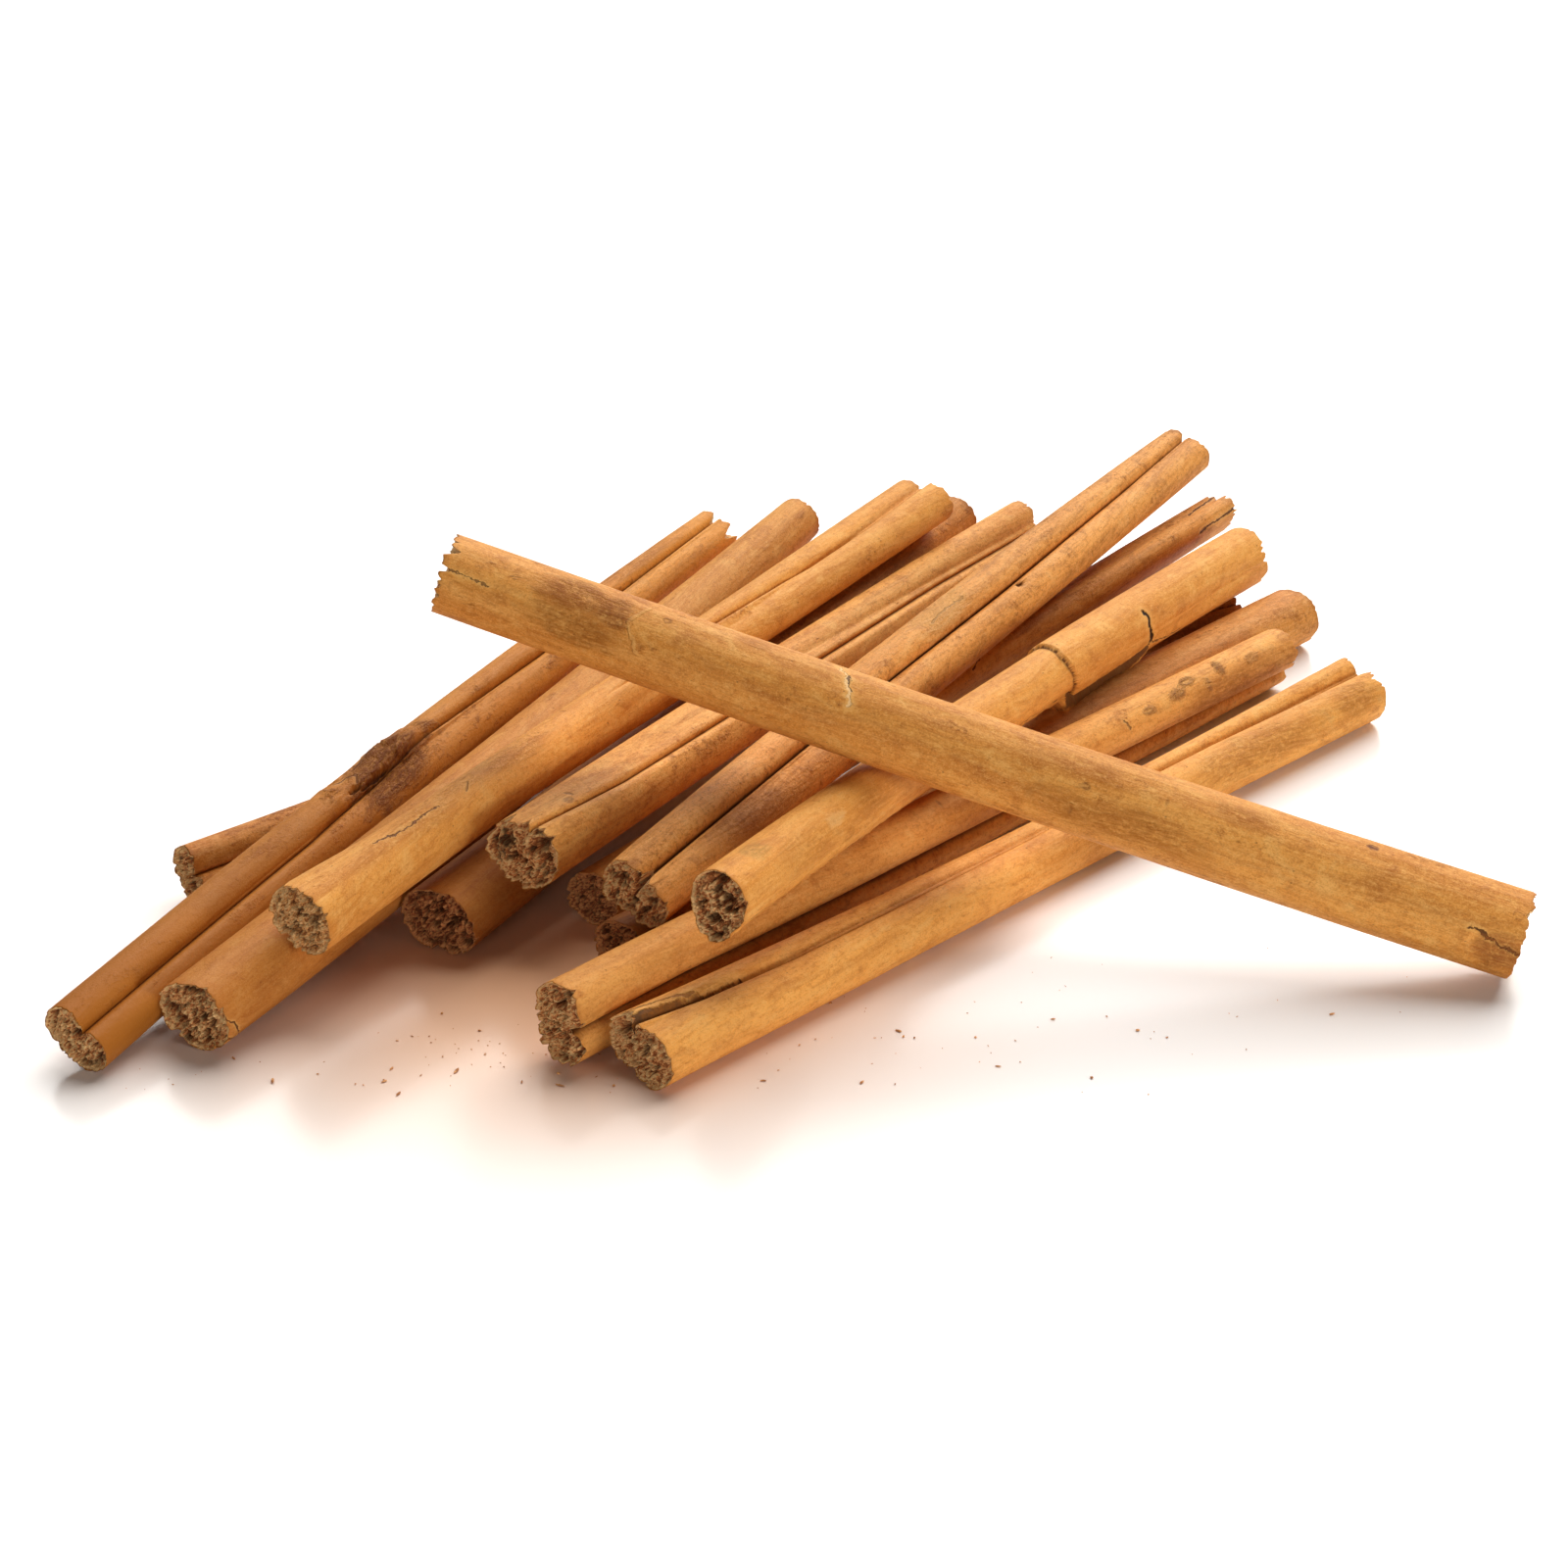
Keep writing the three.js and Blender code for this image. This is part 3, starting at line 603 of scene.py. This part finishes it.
goldLook = dict(pale=(236, 164, 76), mid=(216, 142, 60), deep=(182, 106, 38), vein=(246, 190, 108),
                rusty=(166, 96, 24), dark=(78, 38, 14), cutPale=(255, 208, 144), cutDeep=(236, 154, 92),
                cutDark=(122, 60, 28), rust=0.1, dashes=0.05)
tanLook = dict(goldLook, pale=(230, 158, 74), mid=(208, 134, 54), deep=(168, 96, 34), rust=0.3)
amberLook = dict(goldLook, pale=(224, 150, 70), mid=(200, 126, 52), deep=(152, 88, 32), vein=(238, 178, 104),
                 rust=0.45)
russetLook = dict(goldLook, pale=(216, 138, 58), mid=(190, 114, 40), deep=(144, 78, 22), vein=(226, 164, 92),
                  rusty=(146, 80, 20), rust=0.55)
shadedCut = dict(cutPale=(210, 148, 96), cutDeep=(168, 100, 58), cutDark=(96, 46, 22))  # darker cut faces as painted shade, for ends deep in the heap
plainGroove = dict(deep=(0.7, 0.7), wide=0.26, lip=0.2)

underLeft = dict(
    node="quill_under_left", slot="bark_russet", seed=1, look=russetLook,
    front=(-66.4, -31.4), z=3.69, heading=42.5, slope=-0.0017, length=134,
    width=(7.6, 7.2), depth=(5.6, 5.4), first=(2.3, 2.3), second=(2.2, 2.2),
    floor=(0.45, 0.5), facing=(35, 35), groove=plainGroove,
)
quillObject(underLeft)

leftOuter = dict(
    node="quill_left_outer", slot="bark_russet", seed=2,
    look=dict(russetLook, pale=(242, 166, 72), mid=(224, 144, 54), deep=(166, 98, 28)),
    front=(-72, -66.8), z=3.66, heading=60.6, slope=0.0893, length=129.8,
    width=(8.4, 6.8), depth=(6, 5), first=(2.8, 2.3), second=(2.7, 2.3),
    floor=(0.45, 0.5), facing=(55, 60), bow=(-1.2, 0.4),
    groove=dict(deep=(0.7, 0.9), wide=0.3, lip=0.25,
                bend=((0, -10), (0.31, -14), (0.5, 18), (0.68, 4), (1, 20))),
    paintedNearShade=1, ragged=(0.5, 0.7), busy=[(54, 6)],
    notches=((), ((-40, 3.2, 16), (24, 1.6, 10))),
    dents=[((52, -8), (5, 30), 0.5), ((57, 62), (2.2, 16), -0.7), ((60, 30), (3.5, 20), -0.7),
           ((47.5, 40), (1.5, 40), -0.25)],
    chips=[((53, 36), (6.5, 40), 0.26), ((60.5, 58), (2.6, 15), -0.2)],
    gaps=[((53.5, 16), (3.2, 7), 0.9), ((50, 22), (1.2, 7), 0.7)],
    cracks=[dict(path=[(49, 60), (52, 44), (51, 30)], wide=0.18, strength=0.7),
            dict(path=[(55, 70), (57, 58)], wide=0.3)],
    patches=[dict(at=(56, 14), size=(10, 4.8), strength=0.95, rough=4, colour=(134, 72, 20)),
             dict(at=(112, 60), size=(9, 3), strength=0.4)],
)
quillObject(leftOuter)

leftInner = dict(
    node="quill_left_inner", slot="bark_tan", seed=3, look=tanLook,
    front=(-60.5, -63.2), z=3.59, heading=60.8, slope=0.0883, length=128.9,
    width=(9, 9.2, 6.9), depth=(9.1, 9, 6.9), first=(4.2, 4.3, 3.2), second=(3.3, 3.8, 3.1),
    floor=(0.6, 0.6), facing=(-55, -45), bow=(0.7, -0.5),
    groove=plainGroove, paintedNearShade=0.6, ragged=(0.7, 0.5),
    hollows=(((2.3, -0.6, 0.8, 1.6), (3, 1.2, 0.6, 1.4), (-1.2, 1.4, 0.6, 0.9)), ()),
    cracks=[dict(path=[(0, 32), (1.2, 24), (2.6, 12)], wide=0.26, jag=0.5),
            dict(path=[(0, 66), (1.3, 50), (2.8, 14)], wide=0.2, jag=0.5)],
    patches=[dict(at=(8, 16), size=(7, 1.8), strength=0.5, rough=1.2),
             dict(at=(70, 60), size=(14, 2.2), strength=0.35), dict(at=(30, 60), size=(9, 2), strength=0.3)],
)
quillObject(leftInner)

lowerLeft = dict(
    node="quill_lower_left", slot="bark_amber", seed=4, look=dict(amberLook, **shadedCut),
    front=(-37.8, -42.5), z=3.58, heading=58.9, slope=0.069, length=117.7,
    width=(10, 8.2), depth=(8.2, 7.2), first=(4, 3.4), second=(3.7, 3.2),
    floor=(0.6, 0.6), facing=(-80, -80),
    groove=plainGroove, paintedNearShade=0.7, ragged=(0.8, 0.5),
    cracks=[dict(path=[(0, -60), (2, -54), (4, -44)], wide=0.35)],
    patches=[dict(at=(111, 160), size=(6, 3.2), strength=0.5, colour=(164, 90, 36), rough=1.4)],
)
quillObject(lowerLeft)

underRight = dict(
    node="quill_under_right", slot="bark_russet", seed=5, look=dict(russetLook, **shadedCut),
    front=(-1.7, 5.1), z=2.81, heading=34, slope=0, length=75,
    width=(6.2, 6.2), depth=(5.4, 5.4), first=(2.5, 2.5), second=(2.5, 2.5),
    floor=(0.6, 0.6), facing=(60, 60),
    groove=plainGroove, paintedNearShade=0.6,
)
quillObject(underRight)

lowerMiddle = dict(
    node="quill_lower_middle", slot="bark_amber", seed=6, look=dict(amberLook, **shadedCut),
    front=(-21.5, -36.5), z=3.77, heading=50.2, slope=0.0686, length=126.4,
    width=(8, 7), depth=(7, 5.6), first=(3.4, 2.7), second=(2.9, 1.6),
    floor=(0.6, 0.4), facing=(140, 150),
    groove=plainGroove, paintedNearShade=0.3, ragged=(0.7, 1.2),
    notches=((), ((300, 1.5, 6), (240, 1.2, 4), (330, 1, 6))),
    cracks=[dict(path=[(119, 306), (122, 310), (126, 315)], wide=0.2),
            dict(path=[(117, 236), (121, 239), (126.4, 240)], wide=0.24),
            dict(path=[(66, 250), (68, 262)], wide=0.2)],
)
quillObject(lowerMiddle)

lowerRight = dict(
    node="quill_lower_right", slot="bark_tan", seed=7, look=dict(amberLook, **shadedCut),
    front=(-17.6, -48.3), z=3.14, heading=47.2, slope=0.0008, length=125.8,
    width=(8.4, 8.6), depth=(7.6, 7.8), first=(3.6, 3.7), second=(3.4, 3.5),
    floor=(0.6, 0.6), facing=(-80, -80),
    groove=plainGroove, paintedNearShade=0.6,
    patches=[dict(at=(112, 190), size=(5, 2), strength=0.35)],
)
quillObject(lowerRight)

rightInner = dict(
    node="quill_right_inner", slot="bark_tan", seed=8,
    look=dict(tanLook, pale=(246, 174, 88), mid=(224, 150, 68)),
    front=(-23.2, -66.5), z=5.1, heading=47.3, slope=-0.0058, length=129.1,
    width=(9.6, 9.3, 7.9), depth=(6.6, 6.9, 7.3), first=(3.3, 3, 3), second=(3.3, 2.5, 2.2),
    floor=(0.45, 0.5), facing=(0, 5), bow=(-0.1, -0.2),
    groove=dict(deep=(1, 1.1), wide=0.34, lip=0.35,
                bend=((0, 0), (0.12, 4), (0.38, -27), (0.72, -41), (1, -48))),
    paintedNearShade=0.35, ragged=(0.9, 0.8),
    hollows=(((1.5, 0.4, 0.7, 1.6), (-2.4, 0.3, 0.6, 1.2)), ()),
    cracks=[dict(path=[(93.2, 52), (93.8, 40)], wide=0.2, strength=0.6)],
    patches=[dict(at=(98.4, 52), size=(1.5, 0.8), strength=0.5, colour=(126, 68, 28), deep=-3, rough=4),
             dict(at=(104.2, 55), size=(1.9, 1.1), strength=0.45, colour=(132, 74, 30),
                  deep=-3, rough=4, ring=True),
             dict(at=(107.1, 68), size=(1.5, 0.8), strength=0.5, colour=(132, 74, 30),
                  deep=-3, rough=4, ring=True),
             dict(at=(113.6, 62), size=(0.9, 1.9), strength=0.55, colour=(126, 68, 28), deep=-2, rough=4),
             dict(at=(110.3, 41), size=(0.5, 1.6), strength=0.6, colour=(132, 74, 30), deep=-2, rough=3),
             dict(at=(120, 52), size=(1.8, 1), strength=0.4, colour=(132, 74, 30), deep=-2, rough=4),
             dict(at=(127, 30), size=(2.2, 2.8), strength=0.6),
             dict(at=(116, 18), size=(14, 3.4), strength=0.6, rough=1.5)],
)
quillObject(rightInner)

rightOuter = dict(
    node="quill_right_outer", slot="bark_gold", seed=9,
    look=dict(goldLook, pale=(248, 176, 86), mid=(230, 156, 70)),
    front=(-14.9, -69), z=3.56, heading=45.2, slope=0.0046, length=124.9,
    width=(9.7, 8, 9.1), depth=(6.5, 6.8, 6.9), first=(2.9, 1.9, 1.7), second=(3.2, 3.2, 3.4),
    floor=(0.4, 0.4), facing=(73, 40), even=0.6, bow=(0.3, -0.2),
    groove=dict(deep=(1.3, 0.9), wide=0.32, lip=0.45,
                bend=((0, 28), (0.09, 22), (0.17, 12), (0.29, 17), (0.76, 50), (0.92, 40), (1, 38))),
    paintedNearShade=0.15, ragged=(0.8, 0.8),
    notches=(((44, 1.6, 12),), ((30, 1.2, 10),)),
    hollows=(((-2.6, 0.6, 0.8, 1.8), (0.6, 0.6, 0.6, 1)), ()),
    cracks=[dict(path=[(0, 34), (3, 33), (7.5, 27), (10.6, 23), (15, 20)], wide=0.6, jag=1.2,
                 colour=(60, 30, 14)),
            dict(path=[(0, 52), (4, 46), (9, 34)], wide=0.22, strength=0.7)],
    patches=[dict(at=(98, -20), size=(16, 3.4), strength=0.5, rough=1.2),
             dict(at=(119, -14), size=(5, 3), strength=0.55, rough=1.2),
             dict(at=(8, 30), size=(8, 1.2), strength=0.6)],
)
quillObject(rightOuter)

upperLeft = dict(
    node="quill_upper_left", slot="bark_gold", seed=10, look=dict(goldLook, cutDeep=(250, 176, 104), rust=0.3),
    front=(-50.4, -56.4), z=11.94, heading=56.9, slope=0.0504, length=126.5,
    width=(6.4, 7, 9.5), depth=(7.8, 6.4, 6), first=(3.9, 2.9, 2.6), second=(3.4, 2.6, 2.8),
    floor=(0.7, 0.5), facing=(20, 90), bow=(0.2, -0.1),
    groove=dict(deep=(0.7, 0.8), wide=0.28, lip=0.45, start=0.42,
                bend=((0, 20), (0.6, 20), (0.73, 9), (0.87, -9), (1, -14))),
    ragged=(0.9, 0.9),
    notches=(((100, 1.3, 16),), ((-14, 1.2, 8),)),
    hollows=(((0.6, 1.6, 0.7, 1), (1.4, -1.2, 0.6, 0.9), (-1.6, 2.2, 0.6, 1)), ()),
    cracks=[dict(path=[(12.4, 47), (14.5, 37), (17.5, 32), (20, 34), (22.6, 31)], wide=0.17, jag=1.3),
            dict(path=[(27, 25), (28.5, 40)], wide=0.2, strength=0.5)],
    patches=[dict(at=(27, 50), size=(6, 1.6), strength=0.4, rough=1.4),
             dict(at=(37, 34), size=(9, 2), strength=0.45, rough=1.4),
             dict(at=(11, 30), size=(5, 1.6), strength=0.35),
             dict(at=(20, 34), size=(7, 3), strength=0.4, rough=1.3),
             dict(at=(40, 60), size=(12, 3), strength=0.3, rough=1)],
)
quillObject(upperLeft)

upperMiddle = dict(
    node="quill_upper_middle", slot="bark_tan", seed=11,
    look=dict(tanLook, pale=(240, 170, 86), mid=(222, 148, 68)),
    front=(-28.5, -41.9), z=12.12, heading=58.45, slope=-0.0071, length=117.5,
    width=(9.2, 8.5, 6.9), depth=(8.3, 7, 5.4), first=(3.6, 2.9, 2.5), second=(4, 3.1, 2.2),
    floor=(0.6, 0.5), facing=(75, 45), bow=(-0.1, 0.1),
    groove=dict(deep=(0.8, 0.7), wide=0.3, lip=0.4,
                bend=((0, -8), (0.14, -21), (0.31, -22), (0.76, -25), (1, -42))),
    paintedNearShade=0, ragged=(1.3, 0.8),
    notches=(((75, 2.2, 10), (40, 1.4, 8)), ()),
    hollows=(((1.8, 1.6, 0.9, 2.2), (-1.8, 0.8, 0.6, 1)), ()),
    patches=[dict(at=(8.2, 0), size=(0.8, 0.7), strength=0.8, colour=(120, 66, 28), deep=0.6),
             dict(at=(22, 20), size=(16, 3), strength=0.3, rough=1)],
)
quillObject(upperMiddle)

upperRight = dict(
    node="quill_upper_right", slot="bark_amber", seed=12,
    look=dict(amberLook, pale=(236, 162, 80), mid=(216, 142, 62)),
    front=(-16, -49.2), z=10.97, heading=58.3, slope=0.0594, length=136,
    width=(8.8, 9.3, 7.9), depth=(6.8, 6.5, 5.5), first=(3.2, 3.1, 2.5), second=(2.8, 2.7, 2.5),
    floor=(0.45, 0.5), facing=(66, 70), bow=(-0.4, 0.2),
    groove=dict(deep=(1.3, 0.8), wide=0.34, lip=0.5,
                bend=((0, -5), (0.25, -5), (0.5, -12), (0.6, -15), (0.85, 0), (1, 15))),
    paintedNearShade=0, ragged=(1.2, 0.7), busy=[(69, 7)],
    notches=(((-5, 3.2, 9),), ((15, 1, 10),)),
    hollows=(((-2.2, 0.2, 0.7, 1.2), (2, 0, 0.7, 1.2)), ()),
    chips=[((69, 32), (5.5, 24), 0.14)],
    gaps=[((84.2, -29), (0.55, 8), 0.7)],
    cracks=[dict(path=[(66, 24), (70, 30), (74, 26)], wide=0.15, strength=0.45)],
    patches=[dict(at=(69, 32), size=(8, 3), strength=0.5, colour=(230, 172, 100), rough=2.4),
             dict(at=(84.2, -29), size=(0.9, 0.8), strength=0.6, colour=(120, 66, 28)),
             dict(at=(24, -40), size=(16, 3), strength=0.5, rough=1.3),
             dict(at=(100, 50), size=(3, 2), strength=0.35)],
)
quillObject(upperRight)

sleeved = dict(
    node="quill_sleeved", slot="bark_gold", seed=13, look=goldLook,
    front=(-6.9, -59.8), z=15.03, heading=57.9, slope=-0.0409, length=129.3,
    width=(8.4, 7.8, 7.4), depth=(7, 6.6, 6.6), first=(3.5, 3.3, 2.9), second=(2.3, 2.2, 3.3),
    floor=(0.7, 0.7), facing=(0, 0), even=0.5, bow=(-1.2, 0.2),
    groove=dict(deep=(0.15, 0.1), wide=0.4, lip=0),
    ragged=(0.6, 1.2), busy=[(75.5, 1.6), (95.5, 2.5), (85, 6)],
    notches=((), ((-28, 1.2, 7), (8, 1, 5))),
    hollows=(((-1, 1, 0.7, 1.3), (1.4, -0.6, 0.6, 1.1)), ()),
    sleeve=dict(thick=0.5, step=0.16, sunk=0.5, ragged=0.12, blur=1.5, pull=0.15, shade=(0.95, 0.36),
                edge=((-180, 75.6), (-60, 77.4), (-21, 76.8), (33, 74.5), (48, 74.2), (69, 74.5), (115, 75.2),
                      (180, 75.6)),
                rise=((76.3, 0), (77.2, 1.3), (80, 1.8), (86, 1.7), (91, 1.3), (95, 0.7), (97.4, 0)),
                lip=((76.2, -30), (77, -40), (79, -40), (84, -40), (88, -39), (92, -37), (95, -33),
                     (96.5, -29), (97.2, -24), (97.6, -90)),
                below=((76.2, -32), (77, -54), (79, -61), (84, -63), (88, -61), (92, -56), (95, -47),
                       (96.5, -37), (97.2, -27), (97.6, -88))),
    cracks=[dict(path=[(94.7, 41), (95.2, 30), (94.9, 18), (95.6, 4), (96.4, -12), (97, -27)], wide=0.5,
                 jag=0.9, strength=1, colour=(44, 22, 10)),
            dict(path=[(97.2, -28), (99.6, -34), (102.6, -44), (105.6, -41)], wide=0.16, jag=1.2, strength=0.7)],
    patches=[dict(at=(7.1, 74), size=(2.6, 2), strength=0.45, colour=(150, 116, 54)),
             dict(at=(20, 40), size=(2.6, 1.2), strength=0.6, colour=(240, 188, 118), rough=1.5),
             dict(at=(14, 30), size=(7, 3), strength=0.35, rough=1.2),
             dict(at=(22, 8), size=(1.3, 1.2), strength=0.5), dict(at=(29, 30), size=(5, 2), strength=0.3)],
)
quillObject(sleeved)

across = dict(
    node="quill_across", slot="bark_tan", seed=14, look=tanLook,
    front=(-37.8, -20.3), z=35.67, heading=-12.8, slope=-0.2608, length=123.9,
    width=(9.6, 9.9, 10.5), depth=(9.2, 9, 9.8), first=(4.3, 4.5, 4.6), second=(4.3, 4.5, 4.6),
    floor=(0.7, 0.7), facing=(-100, -100), bow=(0.5, 0),
    groove=plainGroove,
    ragged=(1, 0.7), busy=[(121, 3), (46.5, 2), (22.5, 2)],
    notches=(((158, 1.7, 11), (124, 1.3, 6), (106, 0.7, 5), (84, 0.9, 6)), ((150, 0.8, 14),)),
    hollows=(((-1.4, -2.9, 1.5, 3), (-3.6, -2.4, 1, 2)), ()),
    chips=[((121.4, 84), (3.2, 22), 0.35)],
    cracks=[dict(path=[(45.2, 205), (46.6, 178), (46.9, 159), (47.7, 127)], wide=0.3, jag=1.2, strength=0.8,
                 colour=(250, 206, 146), deep=0.9, halo=0.5),
            dict(path=[(46.5, 186), (47.3, 150)], wide=0.16, jag=1.2, strength=0.8, halo=0),
            dict(path=[(117.6, 108), (124, 90)], wide=0.22, jag=1.5),
            dict(path=[(0, 125), (6.4, 121)], wide=0.12, jag=1.4, strength=0.7),
            dict(path=[(23.6, 184), (22, 138), (24, 98)], wide=0.3, strength=0.3, jag=0.8,
                 colour=(240, 186, 110), deep=-0.8, halo=0)],
    patches=[dict(at=(15.5, 159), size=(5.4, 2.8), strength=0.85, colour=(160, 92, 26), rough=1.8),
             dict(at=(20.4, 147), size=(2.6, 3.4), strength=0.9, colour=(150, 84, 22), rough=1.8),
             dict(at=(17, 106), size=(7, 2.6), strength=0.7, colour=(160, 94, 26), rough=1.4),
             dict(at=(79, 88), size=(12, 2.8), strength=0.6, colour=(170, 100, 30), rough=1.5),
             dict(at=(74.5, 124), size=(0.8, 0.6), strength=0.95, colour=(110, 58, 26), deep=0.6),
             dict(at=(105.6, 190), size=(0.8, 0.7), strength=0.95, colour=(110, 58, 26), deep=0.6),
             dict(at=(92, 163), size=(4, 1.8), strength=0.6),
             dict(at=(76, 154), size=(2.4, 1.8), strength=0.6),
             dict(at=(35.7, 190), size=(2.2, 1.2), strength=0.6),
             dict(at=(26, 170), size=(0.6, 0.6), strength=0.8, colour=(150, 92, 40), ring=True),
             dict(at=(8.6, 150), size=(0.5, 0.5), strength=0.9, colour=(110, 58, 26)),
             dict(at=(121.4, 84), size=(4, 3.4), strength=0.7, colour=(160, 92, 40), rough=1.4)],
)
quillObject(across)

print("quills done")

crumbLook = dict(
    seed=5, front=-69.4, sides=7, colours=((226, 164, 104), (172, 112, 64)), grain=900.0, rough=0.8,
    size=(0.055, 0.13, 4), long=(1, 2.6, 2), turn=(0, 6.3, 1), flat=(0.35, 0.4, 1),  # least, reach, power
    levels=((0.75, 0.0), (1.0, 0.5), (0.55, 1.0)),  # how wide at what height
    groups=[((-33, -58), (6, 3), 30), ((-24, -66), (12, 5), 24), ((-45, -66), (12, 4), 14),  # middle, spread, number
            ((7, -63), (8, 4), 18), ((20, -58), (12, 6), 20), ((-62, -66), (8, 2.5), 8),
            ((40, -52), (12, 6), 14), ((-4, -50), (10, 4), 12)],
)


def crumbs():  # small lumps and splinters: a flattened seven-sided drop each, all in one mesh
    random, sides, front = np.random.default_rng(crumbLook["seed"]), crumbLook["sides"], crumbLook["front"]
    j = np.arange(sides)
    k, ring = (j + 1) % sides, 2 * np.pi * j / sides
    points, faces = [], []
    for middle, spread, many in crumbLook["groups"]:
        for x, y in random.normal(middle, spread, (many, 2)):
            y = abs(y - front) + front  # none lies farther out than the heap's own box
            size, long, turn, flat = (least + reach * random.random() ** power for least, reach, power in (
                crumbLook["size"], crumbLook["long"], crumbLook["turn"], crumbLook["flat"]))
            start = len(points)
            for (wide, tall), uneven in zip(crumbLook["levels"], 0.8 + 0.4 * random.random((3, sides))):
                px, py = size * long * wide * np.cos(ring) * uneven, size * wide * np.sin(ring) * uneven
                points += list(zip(x + px * math.cos(turn) - py * math.sin(turn),
                                   y + px * math.sin(turn) + py * math.cos(turn),
                                   np.full(sides, tall * size * flat * 1.6)))
            for low in (start, start + sides):
                faces += np.stack([low + j, low + k, low + sides + k, low + sides + j], -1).tolist()
            faces += [(start + j[::-1]).tolist(), (start + 2 * sides + j).tolist()]
    mesh = bpy.data.meshes.new("crumbs")
    mesh.from_pydata([tuple(float(c) * mm for c in p) for p in points], [], faces)
    piece = added("crumbs", mesh)
    paint = Paint("crumbs")
    where = paint.node("ShaderNodeTexCoord", {}, {}, "Object")
    grain = paint.node("ShaderNodeTexNoise", {}, {"Vector": where, "Scale": crumbLook["grain"], "Detail": 3.0})
    colour = paint.mix(grain.ramp(0.4, 0.6), *(tone(*c) for c in crumbLook["colours"]))
    paint.finish(mesh, {"Base Color": colour, "Roughness": crumbLook["rough"]})
    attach(piece, "root")


crumbs()
print("crumbs done")

floorLook = dict(size=4.0, below=0.05, pale=(253, 252, 251), paintedShade=(236, 186, 146), middle=(-0.028, -0.042, 0),
                 reach=(0.0, 0.068), rough=0.22)


def makeFloor():  # a pale table, with painted shade and warm painted bounce light close to the heap
    half = floorLook["size"] / 2
    mesh = bpy.data.meshes.new("floor")
    corners = [(-half, -half, 0), (half, -half, 0), (half, half, 0), (-half, half, 0)]
    mesh.from_pydata(corners, [], [(0, 1, 2, 3)])
    floor = added("floor", mesh)
    floor.location.z = -floorLook["below"] * mm
    paint = Paint("floor")
    away = paint.vectors("DISTANCE", paint.node("ShaderNodeTexCoord", {}, {}, "Object"), floorLook["middle"], 1)
    # painted shade and warm bounce light near the heap, fading out to the pale floor
    colour = paint.mix(away.ramp(*floorLook["reach"]), tone(*floorLook["paintedShade"]), tone(*floorLook["pale"]))
    paint.finish(mesh, {"Base Color": colour, "Roughness": floorLook["rough"]})


makeFloor()
print("floor done")

lights = [  # name, where, what it faces, size, watts, colour
    ("behind", (0.22, 0.8, 0.92), (0.02, 0.02, 0), 1.7, 33, (1, 0.985, 0.96)),
    ("right", (0.5, -0.42, 0.12), (0.02, -0.02, 0), 0.2, 1.7, (1, 0.985, 0.96)),
    ("front", (-0.25, -0.7, 0.08), (-0.02, -0.04, 0.01), 0.3, 1.5, (1, 0.94, 0.86)),
]
sky = dict(colour=(1, 0.99, 0.985, 1), strength=0.035)
eye = dict(away=380, pitch=26, lens=72, film=36)

for name, spot, aim, size, watts, colour in lights:
    data = bpy.data.lights.new(name, "AREA")
    data.shape, data.size, data.energy, data.color = "DISK", size, watts, colour
    lamp = added(name, data)
    lamp.location = spot
    x, y, z = np.array(spot) - np.array(aim)
    lamp.rotation_euler = (math.atan2(math.hypot(x, y), z), 0, math.atan2(y, x) + math.pi / 2)

world = bpy.data.worlds.new("sky")
bpy.context.scene.world = world
world.use_nodes = True
background = world.node_tree.nodes["Background"]
background.inputs[0].default_value, background.inputs[1].default_value = sky["colour"], sky["strength"]

cameraData = bpy.data.cameras.new("camera")
cameraData.lens, cameraData.sensor_width = eye["lens"], eye["film"]
camera = added("camera", cameraData)
pitch = math.radians(eye["pitch"])
back, up = eye["away"] * math.cos(pitch), eye["away"] * math.sin(pitch)
camera.location = heap["shift"][0] * mm, (heap["shift"][1] - back) * mm, up * mm
camera.rotation_euler = math.pi / 2 - pitch, 0, 0
bpy.context.scene.camera = camera
bpy.context.scene.view_settings.view_transform = "Standard"
